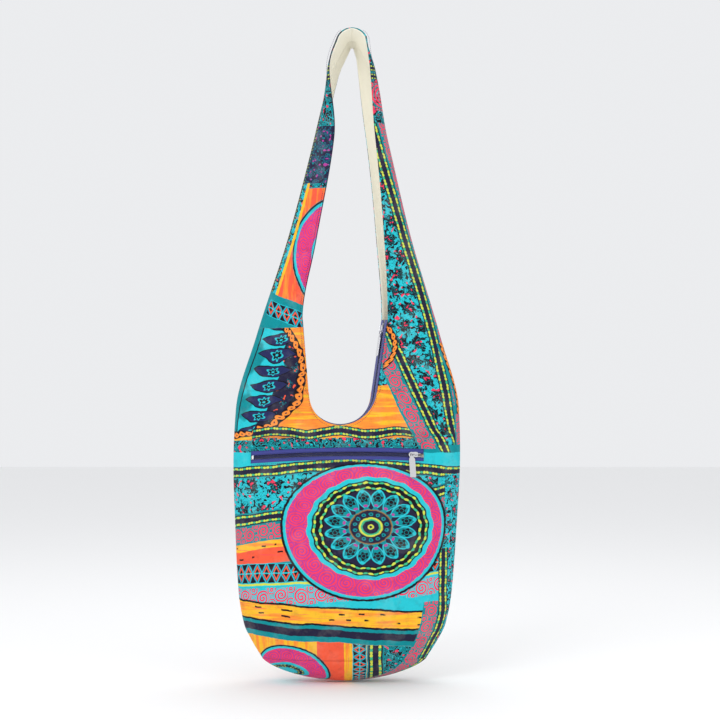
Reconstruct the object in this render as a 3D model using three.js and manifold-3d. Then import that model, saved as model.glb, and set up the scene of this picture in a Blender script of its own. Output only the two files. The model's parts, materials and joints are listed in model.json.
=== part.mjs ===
// A crossbody sling bag in printed cotton, hanging by its strap. Millimetres, +Z up, +Y to the back.
// The origin is the hang point, under the top of the strap. Depths below it are called drops.
import * as THREE from "three";
import { mergeVertices } from "three/addons/utils/BufferGeometryUtils.js";
import Module from "manifold-3d";

const wasm = await Module();
wasm.setup();

// Overall sizes
const strapDrop = 577; // hang point to the lowest point of the opening
const bodyDrop = 383; // lowest point of the opening to the underside of the base
const bodyWidth = 340;
const bodyDepth = 116;
const baseWidth = 246;
const baseCrown = 34; // how far the base panel bulges below its seam
const lean = 12; // the foot hangs this far to the left of the hang point

// Strap and opening
const strapHalfWidth = 31; // half of the strap's flat width at its top
const strapBend = 11; // radius of the strap's top over what it hangs on
const frontTilt = 0.45; // how far the front edge stands out over the top, per millimetre of depth
const backTilt = 0.16; // how far the back edge lies in under the top
const armTurn = 0.27; // how far the arms turn towards the right, per millimetre of depth
const openingRadius = 51;
const openingOffset = -18;
const leftFlare = THREE.MathUtils.degToRad(4.5);
const rightFlare = THREE.MathUtils.degToRad(8);

// Cloth
const cloth = 1;
const liningCloth = 0.8;
const liningGap = 1.2; // between print and lining, enough for a zip tape
const clearance = 0.3;
const seamGap = 0.3;

// Zips
const mainZipHeight = 157; // lowest point of the opening up to the ends of its zip
const mainZipHalf = 16; // half of the depth that the main zip bridges
const tape = 0.6;
const tapeEdge = 3.3; // zip centre to the inner edge of a tape
const toothPitch = 5.4;
const toothWidth = 2.3;
const toothReach = 0.8; // how far a tooth reaches past the centre line
const toothHalfHeight = 1.2;
const spineInner = 2;
const pocketFromLeft = 20; // the body's left side to the pocket zip's end
const pocketFromRight = 64;
const pocketFall = 42; // lowest point of the opening to the middle of the pocket zip
const pocketCurve = 800; // radius of the arc that the pocket zip follows
const pocketFront = 37; // depth of the pocket zip's middle in front of the seams
const pocketLean = THREE.MathUtils.degToRad(26); // the tapes lean forwards going down
const slotHalf = 10;
const tapeLap = 4; // how far a tape goes behind the print
const pouchDrop = 165;
const pouchFullness = 9;

// Sliders and pullers
const sliderLength = 11;
const plateHalf = 4.3;
const plate = 1;
const channelHalf = toothHalfHeight + clearance;
const bailSpan = 9;
const bailWire = 1.5;
const bailHeight = 3.4;
const eyeOuter = 4.5;
const eyeInner = 2.5;
const pullerThickness = 1.4;
const pullerLength = 36;
const pullerWidth = 9;

const zBaseSeam = strapDrop + bodyDrop - baseCrown;
const zipTop = strapDrop - mainZipHeight;
const pocketLeft = pocketFromLeft - bodyWidth / 2;
const pocketRight = bodyWidth / 2 - pocketFromRight;
const pocketDrop = strapDrop + pocketFall;
const arcDrop = strapDrop - openingRadius;
const armsEnd = arcDrop;

function smooth(low, high, value) {
  const t = Math.min(1, Math.max(0, (value - low) / (high - low)));
  return t * t * (3 - 2 * t);
}

// The lesser of two values with its corner rounded over the width k.
function softMin(a, b, k) {
  const h = Math.min(1, Math.max(0, 0.5 + (b - a) / (2 * k)));
  return b + (a - b) * h - k * h * (1 - h);
}

// A smooth curve through points, which never overshoots them.
function through(points) {
  const slope = points
    .slice(1)
    .map((p, i) => (p[1] - points[i][1]) / (p[0] - points[i][0]));
  const tangent = points.map((p, i) => {
    if (i === 0) return slope[0];
    if (i === points.length - 1) return slope[i - 1];
    const product = slope[i - 1] * slope[i];
    return product <= 0 ? 0 : (2 * product) / (slope[i - 1] + slope[i]);
  });
  return (x) => {
    let i = 0;
    while (i < points.length - 2 && x > points[i + 1][0]) i += 1;
    const [x0, y0] = points[i];
    const [x1, y1] = points[i + 1];
    const h = x1 - x0;
    const t = Math.min(1, Math.max(0, (x - x0) / h));
    return (
      y0 * (1 + 2 * t) * (1 - t) ** 2 +
      y1 * t * t * (3 - 2 * t) +
      h * tangent[i] * t * (1 - t) ** 2 -
      h * tangent[i + 1] * t * t * (1 - t)
    );
  };
}

// Outlines, as functions of the drop below the hang point
const bendEnd = THREE.MathUtils.degToRad(60);
const bendEndDrop = strapBend * (1 - Math.cos(bendEnd));
const bendEndWidth = strapBend * Math.sin(bendEnd);
const half = bodyWidth / 2;
const below = (share) => strapDrop + share * bodyDrop;

const outerHalfWidth = through([
  [bendEndDrop, bendEndWidth],
  [0.083 * strapDrop, 0.18 * half],
  [0.27 * strapDrop, 0.33 * half],
  [0.52 * strapDrop, 0.545 * half],
  [0.77 * strapDrop, 0.81 * half],
  [0.965 * strapDrop, 0.985 * half],
  [below(0.13), half],
  [below(0.4), 0.976 * half],
  [below(0.65), 0.94 * half],
  [below(0.78), (half + baseWidth / 2) * 0.515],
  [below(0.85), (half + baseWidth / 2) * 0.47],
  [zBaseSeam, baseWidth / 2],
]);
const middleX = (drop) => (-lean * drop) / (strapDrop + bodyDrop);

// The opening: a half circle with two straight, slightly flared sides.
const leftTouch = openingOffset - openingRadius * Math.cos(leftFlare);
const rightTouch = openingOffset + openingRadius * Math.cos(rightFlare);
const leftTouchDrop = arcDrop + openingRadius * Math.sin(leftFlare);
const rightTouchDrop = arcDrop + openingRadius * Math.sin(rightFlare);
const leftSide = (drop) => leftTouch - (leftTouchDrop - drop) * Math.tan(leftFlare);
const rightSide = (drop) => rightTouch + (rightTouchDrop - drop) * Math.tan(rightFlare);

const leftStrapEdge = through([
  [bendEndDrop, -bendEndWidth + 1],
  [0.083 * strapDrop, -23],
  [0.29 * strapDrop, -35],
  [0.52 * strapDrop, -58],
  [zipTop, leftSide(zipTop)],
  [arcDrop, leftSide(arcDrop)],
]);
const rightStrapEdge = through([
  [bendEndDrop, bendEndWidth - 1],
  [0.13 * strapDrop, 18],
  [0.29 * strapDrop, 30],
  [0.47 * strapDrop, 40],
  [zipTop, rightSide(zipTop)],
  [arcDrop, rightSide(arcDrop)],
]);

function innerX(side, drop) {
  if (drop >= zipTop) return side < 0 ? leftSide(drop) : rightSide(drop);
  return side < 0 ? leftStrapEdge(drop) : rightStrapEdge(drop);
}
const outerX = (side, drop) => middleX(drop) + side * outerHalfWidth(drop);

// Half of the depth at the strap's edges and the opening, and the fullest half depth.
const edgeDepth = through([
  [0, strapHalfWidth],
  [0.13 * strapDrop, 0.94 * strapHalfWidth],
  [0.3 * strapDrop, 0.78 * strapHalfWidth],
  [0.55 * strapDrop, 0.7 * strapHalfWidth],
  [zipTop, mainZipHalf],
  [strapDrop, mainZipHalf],
]);
const fullDepth = through([
  [0, strapHalfWidth],
  [0.13 * strapDrop, 0.94 * strapHalfWidth],
  [0.3 * strapDrop, 0.8 * strapHalfWidth],
  [0.55 * strapDrop, 0.76 * strapHalfWidth],
  [zipTop, 1.4 * mainZipHalf],
  [arcDrop, 2.1 * mainZipHalf],
  [below(0.16), 0.43 * bodyDepth],
  [below(0.38), 0.49 * bodyDepth],
  [below(0.6), 0.5 * bodyDepth],
  [below(0.8), 0.45 * bodyDepth],
  [zBaseSeam, 0.355 * bodyDepth],
]);
const crossPower = 2.2;
const openingSlope = 0.45;
const softness = 6;

function roundDepth(fill, drop) {
  return fullDepth(drop) * Math.sqrt(Math.max(0, 1 - (1 - Math.min(1, fill)) ** crossPower));
}

function armDepth(fill, drop, side) {
  const reach = Math.abs(outerX(side, drop) - innerX(side, drop));
  const limit = edgeDepth(drop) + openingSlope * (1 - fill) * reach;
  return softMin(roundDepth(fill, drop), limit, softness * smooth(0, zipTop, drop));
}

// The pocket zip lies on a cylinder whose straight lines run along the tapes' width.
const sin = Math.sin(pocketLean);
const cos = Math.cos(pocketLean);
const pocketX = 5;
const pocketOut = new THREE.Vector3(0, -cos, sin);
const pocketDown = new THREE.Vector3(0, -sin, -cos);
const pocketAcross = new THREE.Vector3(1, 0, 0);
const pocketOrigin = new THREE.Vector3(pocketX, -pocketFront, -pocketDrop);

// A point on or off the pocket zip: along its arc, across its width and out from its tape.
function pocketPoint(along, across, out) {
  const turn = along / pocketCurve;
  return pocketOrigin
    .clone()
    .addScaledVector(pocketOut, (pocketCurve + out) * Math.cos(turn) - pocketCurve)
    .addScaledVector(pocketAcross, (pocketCurve + out) * Math.sin(turn))
    .addScaledVector(pocketDown, across);
}
const alongAt = (x) => pocketCurve * Math.asin((x - pocketX) / pocketCurve);
const printOut = tape / 2 + clearance + cloth;

// The print's depth where it lies over the pocket zip, and how far down from the zip that is.
function pocketDepth(x, drop) {
  const flat = pocketCurve + printOut;
  const fall = flat - Math.sqrt(flat * flat - (x - pocketX) ** 2) - printOut;
  const across = (drop - pocketDrop - fall * sin) / cos;
  return { depth: pocketFront - fall * cos + across * sin, across };
}

function bodyDepthAt(x, drop, face) {
  const width = outerHalfWidth(drop);
  const offset = x - middleX(drop);
  const side = offset < 0 ? -1 : 1;
  const armReach = Math.abs(outerX(side, arcDrop) - innerX(side, arcDrop));
  const reach = THREE.MathUtils.lerp(armReach, width, smooth(arcDrop, strapDrop + 40, drop));
  const fill = (width - Math.abs(offset)) / reach;
  const far = Math.hypot(x - openingOffset, drop - arcDrop) - openingRadius;
  const limit = mainZipHalf + openingSlope * Math.max(0, far);
  const free = softMin(roundDepth(fill, drop), limit, softness);
  if (face > 0) return free;
  const pocket = pocketDepth(x, drop);
  const near = 1 - smooth(zipBand, 42, Math.abs(pocket.across));
  const inside = Math.min(smooth(pocketLeft - 24, pocketLeft - 8, x), 1 - smooth(pocketRight + 8, pocketRight + 36, x));
  return THREE.MathUtils.lerp(free, pocket.depth, near * inside);
}

// Where the opening's edge lies a length along it, from its left top end.
const leftLength = (leftTouchDrop - zipTop) / Math.cos(leftFlare);
const arcLength = openingRadius * (Math.PI - leftFlare - rightFlare);
const rightLength = (rightTouchDrop - zipTop) / Math.cos(rightFlare);
const openingLength = leftLength + arcLength + rightLength;
const leftArcStart = leftLength - (leftTouchDrop - arcDrop) / Math.cos(leftFlare);
const rightArcEnd = leftLength + arcLength + (rightTouchDrop - arcDrop) / Math.cos(rightFlare);

// Its x, its drop, and the direction that faces the middle of the opening.
function openingEdge(length) {
  if (length <= leftLength) {
    const drop = zipTop + length * Math.cos(leftFlare);
    return { x: leftSide(drop), drop, inX: Math.cos(leftFlare), inZ: Math.sin(leftFlare) };
  }
  if (length >= leftLength + arcLength) {
    const drop = rightTouchDrop - (length - leftLength - arcLength) * Math.cos(rightFlare);
    return { x: rightSide(drop), drop, inX: -Math.cos(rightFlare), inZ: Math.sin(rightFlare) };
  }
  const turn = Math.PI - leftFlare - (length - leftLength) / openingRadius;
  const x = openingOffset + openingRadius * Math.cos(turn);
  const drop = arcDrop + openingRadius * Math.sin(turn);
  return { x, drop, inX: -Math.cos(turn), inZ: Math.sin(turn) };
}

// How far a point moves sideways and up for each millimetre that it lies in front of the seams.
function turned(x, y, drop, outX = 0, outZ = 0) {
  const top = 1 - smooth(20, 150, drop);
  const tilt = top * (y < 0 ? frontTilt : backTilt);
  const turn = (1 - top) * armTurn * (1 - smooth(arcDrop, strapDrop + 13, drop));
  return new THREE.Vector3(x - (tilt * outX + turn) * y, y, -drop - tilt * outZ * y);
}

// A sheet's corners and quads. Corners in the same place are one.
class Sheet {
  constructor() {
    this.points = [];
    this.tags = [];
    this.quads = [];
    this.known = new Map();
  }
  corner(point, tag = {}) {
    const key = point.toArray().map((v) => Math.round(v * 1e3)).join();
    if (!this.known.has(key)) {
      this.known.set(key, this.points.length);
      this.points.push(point);
      this.tags.push({});
    }
    const at = this.known.get(key);
    Object.assign(this.tags[at], tag);
    return at;
  }
  // Joins a grid of corners with quads, turned over where flip is set.
  grid(rows, flip) {
    for (let i = 0; i + 1 < rows.length; i += 1) {
      for (let j = 0; j + 1 < rows[i].length; j += 1) {
        const quad = [rows[i][j], rows[i + 1][j], rows[i + 1][j + 1], rows[i][j + 1]];
        this.quads.push(flip ? quad.reverse() : quad);
      }
    }
  }
  normals() {
    const sums = this.points.map(() => new THREE.Vector3());
    for (const [a, b, c, d] of this.quads) {
      const across = this.points[c].clone().sub(this.points[a]);
      const other = this.points[d].clone().sub(this.points[b]);
      const normal = across.cross(other);
      for (const i of [a, b, c, d]) sums[i].add(normal);
    }
    return sums.map((n) => n.normalize());
  }
}

function meshOf(name, positions, triangles, material) {
  const geometry = new THREE.BufferGeometry();
  geometry.setAttribute("position", new THREE.Float32BufferAttribute(positions, 3));
  geometry.setIndex(triangles);
  geometry.computeVertexNormals();
  const mesh = new THREE.Mesh(geometry, material);
  mesh.name = name;
  return mesh;
}

// A closed solid between two offsets in from a sheet. The tags keep seams on their own side.
function thicken(name, sheet, material, outerInset, innerInset, keep = () => {}) {
  const normals = sheet.normals();
  const count = sheet.points.length;
  const positions = [];
  for (const inset of [outerInset, innerInset]) {
    sheet.points.forEach((point, i) => {
      const moved = point.clone().addScaledVector(normals[i], -inset(sheet.tags[i]));
      keep(moved, sheet.tags[i]);
      positions.push(...moved.toArray());
    });
  }
  const triangles = [];
  const edges = new Map();
  for (const quad of sheet.quads) {
    const [a, b, c, d] = quad;
    triangles.push(a, b, c, a, c, d);
    triangles.push(count + a, count + c, count + b, count + a, count + d, count + c);
    quad.forEach((from, i) => {
      const to = quad[(i + 1) % 4];
      if (edges.has(`${to},${from}`)) edges.delete(`${to},${from}`);
      else edges.set(`${from},${to}`, [from, to]);
    });
  }
  for (const [from, to] of edges.values()) {
    triangles.push(from, count + from, count + to, from, count + to, to);
  }
  return meshOf(name, positions, triangles, material);
}

// Solids for cuts and joins
function toSolid(geometry) {
  const plain = geometry.clone();
  plain.deleteAttribute("normal");
  plain.deleteAttribute("uv");
  const merged = mergeVertices(plain, 1e-4);
  const triVerts = new Uint32Array(merged.index.array);
  const vertProperties = new Float32Array(merged.attributes.position.array);
  return new wasm.Manifold(new wasm.Mesh({ numProp: 3, vertProperties, triVerts }));
}

function fromSolid(name, solid, material) {
  const { vertProperties, triVerts } = solid.getMesh();
  return meshOf(name, Array.from(vertProperties), Array.from(triVerts), material);
}

function clothMaterial(color) {
  return new THREE.MeshStandardMaterial({ color, roughness: 0.9, side: THREE.DoubleSide });
}
const print = clothMaterial(0x1a8f98);
const cream = clothMaterial(0xe8e4d6);
const navy = clothMaterial(0x3a3f86);
const darkTeeth = new THREE.MeshStandardMaterial({ color: 0x262a5c, roughness: 0.5 });
const silver = new THREE.MeshStandardMaterial({ color: 0xc9ccd0, roughness: 0.25, metalness: 1 });

// One face of the bag, the front with face -1 or the back with 1: the body and both arms up to
// the top of the strap, as one cut of cloth.
const armSteps = 5;
const armRows = 9;
const zipRows = 3;
const openingSteps = 10;
const zipBand = slotHalf + tapeLap + 2; // the print keeps the zip's curve this far up and down
const lowerRows = [0.1, 0.24, 0.42, 0.6, 0.77, 0.9, 1];
const bendSteps = 4;
const armFill = (j) => 1 - Math.cos((j / armSteps) * (Math.PI / 2));

// The drops of an arm's rows: closer together near the top, with one where the zip ends.
function armDrops() {
  const drops = [];
  for (let i = 0; i < armRows; i += 1) {
    drops.push(THREE.MathUtils.lerp(bendEndDrop, zipTop, (i / armRows) ** 1.25));
  }
  for (let i = 0; i <= zipRows; i += 1) {
    drops.push(THREE.MathUtils.lerp(zipTop, armsEnd, i / zipRows));
  }
  return drops;
}

// The drops of the body's rows at one x. They follow the pocket zip, so that it lies flat.
function rowDrops(x, top) {
  const flat = pocketCurve + printOut;
  const zip = pocketDrop + (flat - Math.sqrt(flat * flat - (x - pocketX) ** 2) - printOut) * sin;
  const band = zipBand * cos;
  const rows = [top, (top + zip - band) / 2, zip - band, zip, zip + band, zip + 2 * band];
  const from = zip + 2 * band;
  return rows.concat(lowerRows.map((share) => THREE.MathUtils.lerp(from, zBaseSeam, share)));
}

function panelSheet(face) {
  const sheet = new Sheet();
  const seamTag = (j) => (j === 0 ? { side: true } : {});
  const armCorner = (side, drop, j) => {
    const fill = armFill(j);
    const slope = outerHalfWidth(drop + 1) - outerHalfWidth(drop);
    const size = Math.hypot(1, slope);
    const x = THREE.MathUtils.lerp(outerX(side, drop), innerX(side, drop), fill);
    const y = face * Math.max(seamGap / 2, armDepth(fill, drop, side));
    const point = turned(x, y, drop, side / size, slope / size);
    const away = j === armSteps && drop > zipTop - 30 ? { away: [side, 0] } : {};
    return sheet.corner(point, { ...seamTag(j), ...away, x, drop });
  };
  const bendCorner = (side, turn, j) => {
    const fill = armFill(j);
    const share = turn / bendEnd;
    const radius = strapBend - fill * share;
    const drop = strapBend - radius * Math.cos(turn);
    const x = middleX(drop) + side * radius * Math.sin(turn);
    const y = face * Math.max(seamGap / 2, roundDepth(fill, drop));
    const point = turned(x, y, drop, side * Math.sin(turn), Math.cos(turn));
    return sheet.corner(point, { ...seamTag(j), x, drop });
  };
  for (const side of [-1, 1]) {
    const rows = [];
    for (let i = 0; i < bendSteps; i += 1) {
      const turn = (bendEnd * i) / bendSteps;
      rows.push(Array.from({ length: armSteps + 1 }, (_, j) => bendCorner(side, turn, j)));
    }
    for (const drop of armDrops()) {
      rows.push(Array.from({ length: armSteps + 1 }, (_, j) => armCorner(side, drop, j)));
    }
    sheet.grid(rows, side * face < 0);
  }
  const bodyCorner = (x, drop, tag) => {
    const y = face * Math.max(seamGap / 2, bodyDepthAt(x, drop, face));
    return sheet.corner(turned(x, y, drop), { ...tag, x, drop });
  };
  const rows = rowDrops(0, armsEnd).map((_, i, list) => {
    const last = i === list.length - 1;
    const base = last ? { base: true } : {};
    const row = [];
    const sideRow = (side, j) => {
      const middle = THREE.MathUtils.lerp(outerX(side, strapDrop), innerX(side, armsEnd), armFill(j));
      const drop = rowDrops(middle, armsEnd)[i];
      const x = THREE.MathUtils.lerp(outerX(side, drop), innerX(side, armsEnd), armFill(j));
      row.push(bodyCorner(x, drop, { ...seamTag(j), ...base }));
    };
    for (let j = 0; j < armSteps; j += 1) sideRow(-1, j);
    for (let k = 0; k <= openingSteps; k += 1) {
      const edge = openingEdge(THREE.MathUtils.lerp(leftArcStart, rightArcEnd, k / openingSteps));
      const away = i === 0 ? { away: [-edge.inX, -edge.inZ] } : {};
      row.push(bodyCorner(edge.x, rowDrops(edge.x, edge.drop)[i], { ...base, ...away }));
    }
    for (let j = armSteps - 1; j >= 0; j -= 1) sideRow(1, j);
    return row;
  });
  sheet.grid(rows, face > 0);
  return sheet;
}

// Keeps each face on its own side of the side seams, and above the base seam.
function keepSeams(face) {
  return (point, tag) => {
    if (tag.side) point.y = (face * seamGap) / 2;
    if (tag.base) point.z = -zBaseSeam + seamGap / 2;
  };
}

// How far the pocket's pouch bulges in behind the print, at a place on the front.
const pouchLeft = pocketLeft - 7;
const pouchRight = pocketRight + 8;
const pouchTop = pocketDrop - 14;
const pouchBottom = pocketDrop + pouchDrop;
function pouchBulge(x, drop) {
  const across = (2 * x - pouchLeft - pouchRight) / (pouchRight - pouchLeft);
  const down = (2 * drop - pouchTop - pouchBottom) / (pouchBottom - pouchTop);
  const swell = (v) => Math.max(0, 1 - Math.abs(v) ** 4);
  return pouchFullness * swell(across) * swell(down);
}
const liningInset = cloth + liningGap;
const pouchRoom = 8; // how much deeper the lining lies behind the pouch
function frontLiningInset(tag) {
  const left = smooth(pouchLeft - 18, pouchLeft - 2, tag.x);
  const right = 1 - smooth(pouchRight + 4, pouchRight + 30, tag.x);
  const down = smooth(strapDrop + 1, pouchTop - 6, tag.drop);
  const up = 1 - smooth(pouchBottom + 10, pouchBottom + 50, tag.drop);
  const bulge = pouchBulge(tag.x, tag.drop);
  return liningInset + left * right * down * up * (pouchRoom + bulge);
}

function makePanel(name, face, material) {
  const sheet = panelSheet(face);
  return thicken(name, sheet, material, () => 0, () => cloth, keepSeams(face));
}

// A lining stops short of the opening's edge, below the zip tape.
const liningSetBack = tape / 2 + 3 * clearance;
function makeLining(name, face) {
  const sheet = panelSheet(face);
  const inset = face < 0 ? frontLiningInset : () => liningInset;
  const seams = keepSeams(face);
  const keep = (point, tag) => {
    seams(point, tag);
    if (tag.away) point.x += tag.away[0] * liningSetBack;
    if (tag.away) point.z += tag.away[1] * liningSetBack;
  };
  return thicken(name, sheet, cream, inset, (tag) => inset(tag) + liningCloth, keep);
}

// The base: a shallow dome below the seam, worked out in rings from the seam to its middle.
const baseSteps = 26;
const baseRings = 5;
function makeBase(name, material, inset, thickness) {
  const sheet = new Sheet();
  const rows = [];
  const centre = middleX(zBaseSeam);
  for (let ring = 0; ring <= baseRings; ring += 1) {
    const size = Math.cos((ring / baseRings) * (Math.PI / 2));
    const row = [];
    for (let i = 0; i <= baseSteps; i += 1) {
      const turn = (2 * Math.PI * i) / baseSteps;
      const share = Math.sign(Math.cos(turn)) * Math.abs(Math.cos(turn)) ** (2 / crossPower);
      const y = fullDepth(zBaseSeam) * Math.sin(turn) * size;
      const x = centre + (baseWidth / 2) * share * size;
      const drop = zBaseSeam + seamGap / 2 + baseCrown * (1 - size * size) ** 0.78;
      row.push(sheet.corner(new THREE.Vector3(x, y, -drop), ring === 0 ? { base: true } : {}));
    }
    rows.push(row);
  }
  sheet.grid(rows, false);
  const keep = (point, tag) => {
    if (tag.base) point.z = -zBaseSeam - seamGap / 2;
  };
  return thicken(name, sheet, material, () => inset, () => inset + thickness, keep);
}

// The slot for the pocket zip, and the print that is left round it
function pocketBlock(left, right, top, bottom, low, high) {
  const steps = 16;
  const sheet = new Sheet();
  const rows = [];
  for (const across of [top, bottom]) {
    rows.push(
      Array.from({ length: steps + 1 }, (_, i) => {
        const along = THREE.MathUtils.lerp(left, right, i / steps);
        return sheet.corner(pocketPoint(along, across, 0));
      }),
    );
  }
  sheet.grid(rows, false);
  return thicken("block", sheet, print, () => -high, () => -low);
}
const zipLeft = alongAt(pocketLeft);
const zipRight = alongAt(pocketRight);

function makeFrontPanel() {
  const panel = toSolid(makePanel("front_panel", -1, print).geometry);
  const slot = toSolid(pocketBlock(zipLeft, zipRight, -slotHalf, slotHalf, -8, 8).geometry);
  return fromSolid("front_panel", panel.subtract(slot), print);
}

// The pouch: two pieces of cotton sewn together round their edges, with a window at the top of
// the front one, which the zip tapes close.
const pouchSetBack = 1.7;
const pouchThin = 3.6; // the pouch's thickness at its seams
function pouchSlab(inset, front, back, grow) {
  const columns = 12;
  const drops = 8;
  const sheet = new Sheet();
  const rows = [];
  for (let i = 0; i <= drops; i += 1) {
    const drop = THREE.MathUtils.lerp(pouchTop + inset, pouchBottom - inset, i / drops);
    const row = [];
    for (let j = 0; j <= columns; j += 1) {
      const x = THREE.MathUtils.lerp(pouchLeft + inset, pouchRight - inset, j / columns);
      const point = turned(x, -bodyDepthAt(x, drop, -1), drop);
      row.push(sheet.corner(point, { x, drop }));
    }
    rows.push(row);
  }
  sheet.grid(rows, false);
  const deep = (tag) => back + grow * pouchBulge(tag.x, tag.drop);
  return toSolid(thicken("slab", sheet, cream, () => front, deep).geometry);
}

function makePouch() {
  const frontInset = cloth + pouchSetBack;
  const backInset = frontInset + pouchThin;
  const outer = pouchSlab(0, frontInset, backInset, 1);
  const inner = pouchSlab(liningCloth, frontInset + liningCloth, backInset - liningCloth, 1);
  const room = tapeLap + 1;
  const low = -pouchSetBack - 1.4;
  const window = pocketBlock(zipLeft - room, zipRight + room, -slotHalf - room, slotHalf + 1, low, 4);
  const pouch = outer.subtract(inner).subtract(toSolid(window.geometry));
  const seam = frontInset + pouchThin / 2;
  const before = pouchSlab(-1, frontInset - 1, seam - seamGap / 2, 0);
  const behind = pouchSlab(-1, frontInset - 1, seam + seamGap / 2, 0);
  return [
    fromSolid("pocket_pouch_front", pouch.intersect(before), cream),
    fromSolid("pocket_pouch_back", pouch.subtract(behind), cream),
  ];
}

// Tapes
function makePocketTape(name, side) {
  const near = side * tapeEdge;
  const far = side * (slotHalf + tapeLap);
  const [top, bottom] = near < far ? [near, far] : [far, near];
  const block = pocketBlock(zipLeft - tapeLap, zipRight + tapeLap, top, bottom, -tape / 2, tape / 2);
  block.name = name;
  block.material = navy;
  return block;
}

// A point on the main zip: along the opening, in depth, and out towards the opening's middle.
function mainPoint(along, depth, out) {
  const edge = openingEdge(along);
  return turned(edge.x + out * edge.inX, depth, edge.drop - out * edge.inZ);
}
function mainStations() {
  const stations = [0];
  const straight = 3;
  for (let i = 1; i <= straight; i += 1) stations.push((leftArcStart * i) / straight);
  for (let k = 1; k <= openingSteps; k += 1) {
    stations.push(THREE.MathUtils.lerp(leftArcStart, rightArcEnd, k / openingSteps));
  }
  for (let i = 1; i <= straight; i += 1) {
    stations.push(THREE.MathUtils.lerp(rightArcEnd, openingLength, i / straight));
  }
  return stations;
}
const panelEdgeInset = cloth + clearance;
function edgeDepthAt(along) {
  const edge = openingEdge(along);
  if (edge.drop > arcDrop) return bodyDepthAt(edge.x, edge.drop, 1);
  return armDepth(1, edge.drop, edge.inX > 0 ? -1 : 1);
}

function makeMainTape(name, face) {
  const sheet = new Sheet();
  const rows = mainStations().map((along) => {
    const depth = edgeDepthAt(along) - panelEdgeInset;
    return [tapeEdge, depth].map((y) => sheet.corner(mainPoint(along, face * y, 0)));
  });
  sheet.grid(rows, face < 0);
  return thicken(name, sheet, navy, () => -tape / 2, () => tape / 2);
}

// A row of teeth: a spine with a tooth at each pitch, which reaches past the centre line.
function makeTeeth(name, side, count, start, place, flip) {
  const sheet = new Sheet();
  const shift = side > 0 ? toothPitch / 2 : 0;
  const edge = tapeEdge - clearance;
  const cut = (stops, depths) => {
    const rows = stops.map((s) => depths.map((y) => sheet.corner(place(s, side * y))));
    sheet.grid(rows, flip !== side > 0);
  };
  for (let i = 0; i < count; i += 1) {
    const from = start + i * toothPitch + shift;
    const to = from + toothWidth;
    cut([from, to], [spineInner, -toothReach]);
    cut(i + 1 < count ? [from, to, from + toothPitch] : [from, to], [edge, spineInner]);
  }
  return thicken(name, sheet, darkTeeth, () => -toothHalfHeight, () => toothHalfHeight);
}

// Slider, puller and stops, drawn lying along X, across Y and out along Z, then placed.
function extrude(shape, low, high) {
  const geometry = new THREE.ExtrudeGeometry(shape, { depth: high - low, bevelEnabled: false, curveSegments: 6 });
  geometry.translate(0, 0, low);
  return toSolid(geometry);
}
function rectangle(x0, x1, y0, y1) {
  const shape = new THREE.Shape();
  shape.moveTo(x0, y0);
  shape.lineTo(x1, y0);
  shape.lineTo(x1, y1);
  shape.lineTo(x0, y1);
  shape.closePath();
  return shape;
}

// The slider's plate: square behind, with two rounded shoulders towards its nose.
function plateShape() {
  const end = sliderLength / 2;
  const shape = new THREE.Shape();
  shape.moveTo(-end, -plateHalf * 0.8);
  shape.lineTo(end * 0.3, -plateHalf);
  shape.quadraticCurveTo(end, -plateHalf, end, -plateHalf * 0.35);
  shape.quadraticCurveTo(end * 0.8, 0, end, plateHalf * 0.35);
  shape.quadraticCurveTo(end, plateHalf, end * 0.3, plateHalf);
  shape.lineTo(-end, plateHalf * 0.8);
  shape.closePath();
  return shape;
}

// The bail: an arch that stands along the slider, with two legs and a bar.
function bailSolid() {
  const base = channelHalf + plate;
  const reach = bailSpan / 2 + bailWire / 2;
  const arch = new THREE.Shape();
  arch.moveTo(-reach, base - 0.4);
  arch.lineTo(-reach, base + bailHeight - 0.6);
  arch.quadraticCurveTo(-reach, base + bailHeight + 0.8, -reach + 1.6, base + bailHeight + 0.8);
  arch.lineTo(reach - 1.6, base + bailHeight + 0.8);
  arch.quadraticCurveTo(reach, base + bailHeight + 0.8, reach, base + bailHeight - 0.6);
  arch.lineTo(reach, base - 0.4);
  arch.lineTo(reach - bailWire, base - 0.4);
  arch.lineTo(reach - bailWire, base + bailHeight - 0.4);
  arch.lineTo(-reach + bailWire, base + bailHeight - 0.4);
  arch.lineTo(-reach + bailWire, base - 0.4);
  arch.closePath();
  const geometry = new THREE.ExtrudeGeometry(arch, { depth: bailWire, bevelEnabled: false, curveSegments: 4 });
  geometry.translate(0, 0, -bailWire / 2);
  geometry.rotateX(Math.PI / 2);
  return toSolid(geometry);
}

function sliderSolid() {
  const end = sliderLength / 2;
  const top = extrude(plateShape(), channelHalf, channelHalf + plate);
  const bottom = extrude(plateShape(), -channelHalf - plate, -channelHalf);
  const post = new THREE.Shape();
  post.moveTo(end - 4.4, 0);
  post.quadraticCurveTo(end - 2.6, -1.5, end - 0.8, -0.9);
  post.lineTo(end - 0.8, 0.9);
  post.quadraticCurveTo(end - 2.6, 1.5, end - 4.4, 0);
  const lip = (side, low, high) => {
    const inner = tapeEdge + 0.1;
    return extrude(rectangle(-end + 0.6, end * 0.3, side * inner, side * plateHalf * 0.94), low, high);
  };
  let solid = top.add(bottom).add(extrude(post, -channelHalf - 0.2, channelHalf + 0.2)).add(bailSolid());
  for (const side of [-1, 1]) {
    solid = solid.add(lip(side, tape / 2 + clearance, channelHalf + 0.2));
    solid = solid.add(lip(side, -channelHalf - 0.2, -tape / 2 - clearance));
  }
  return solid;
}

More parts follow.
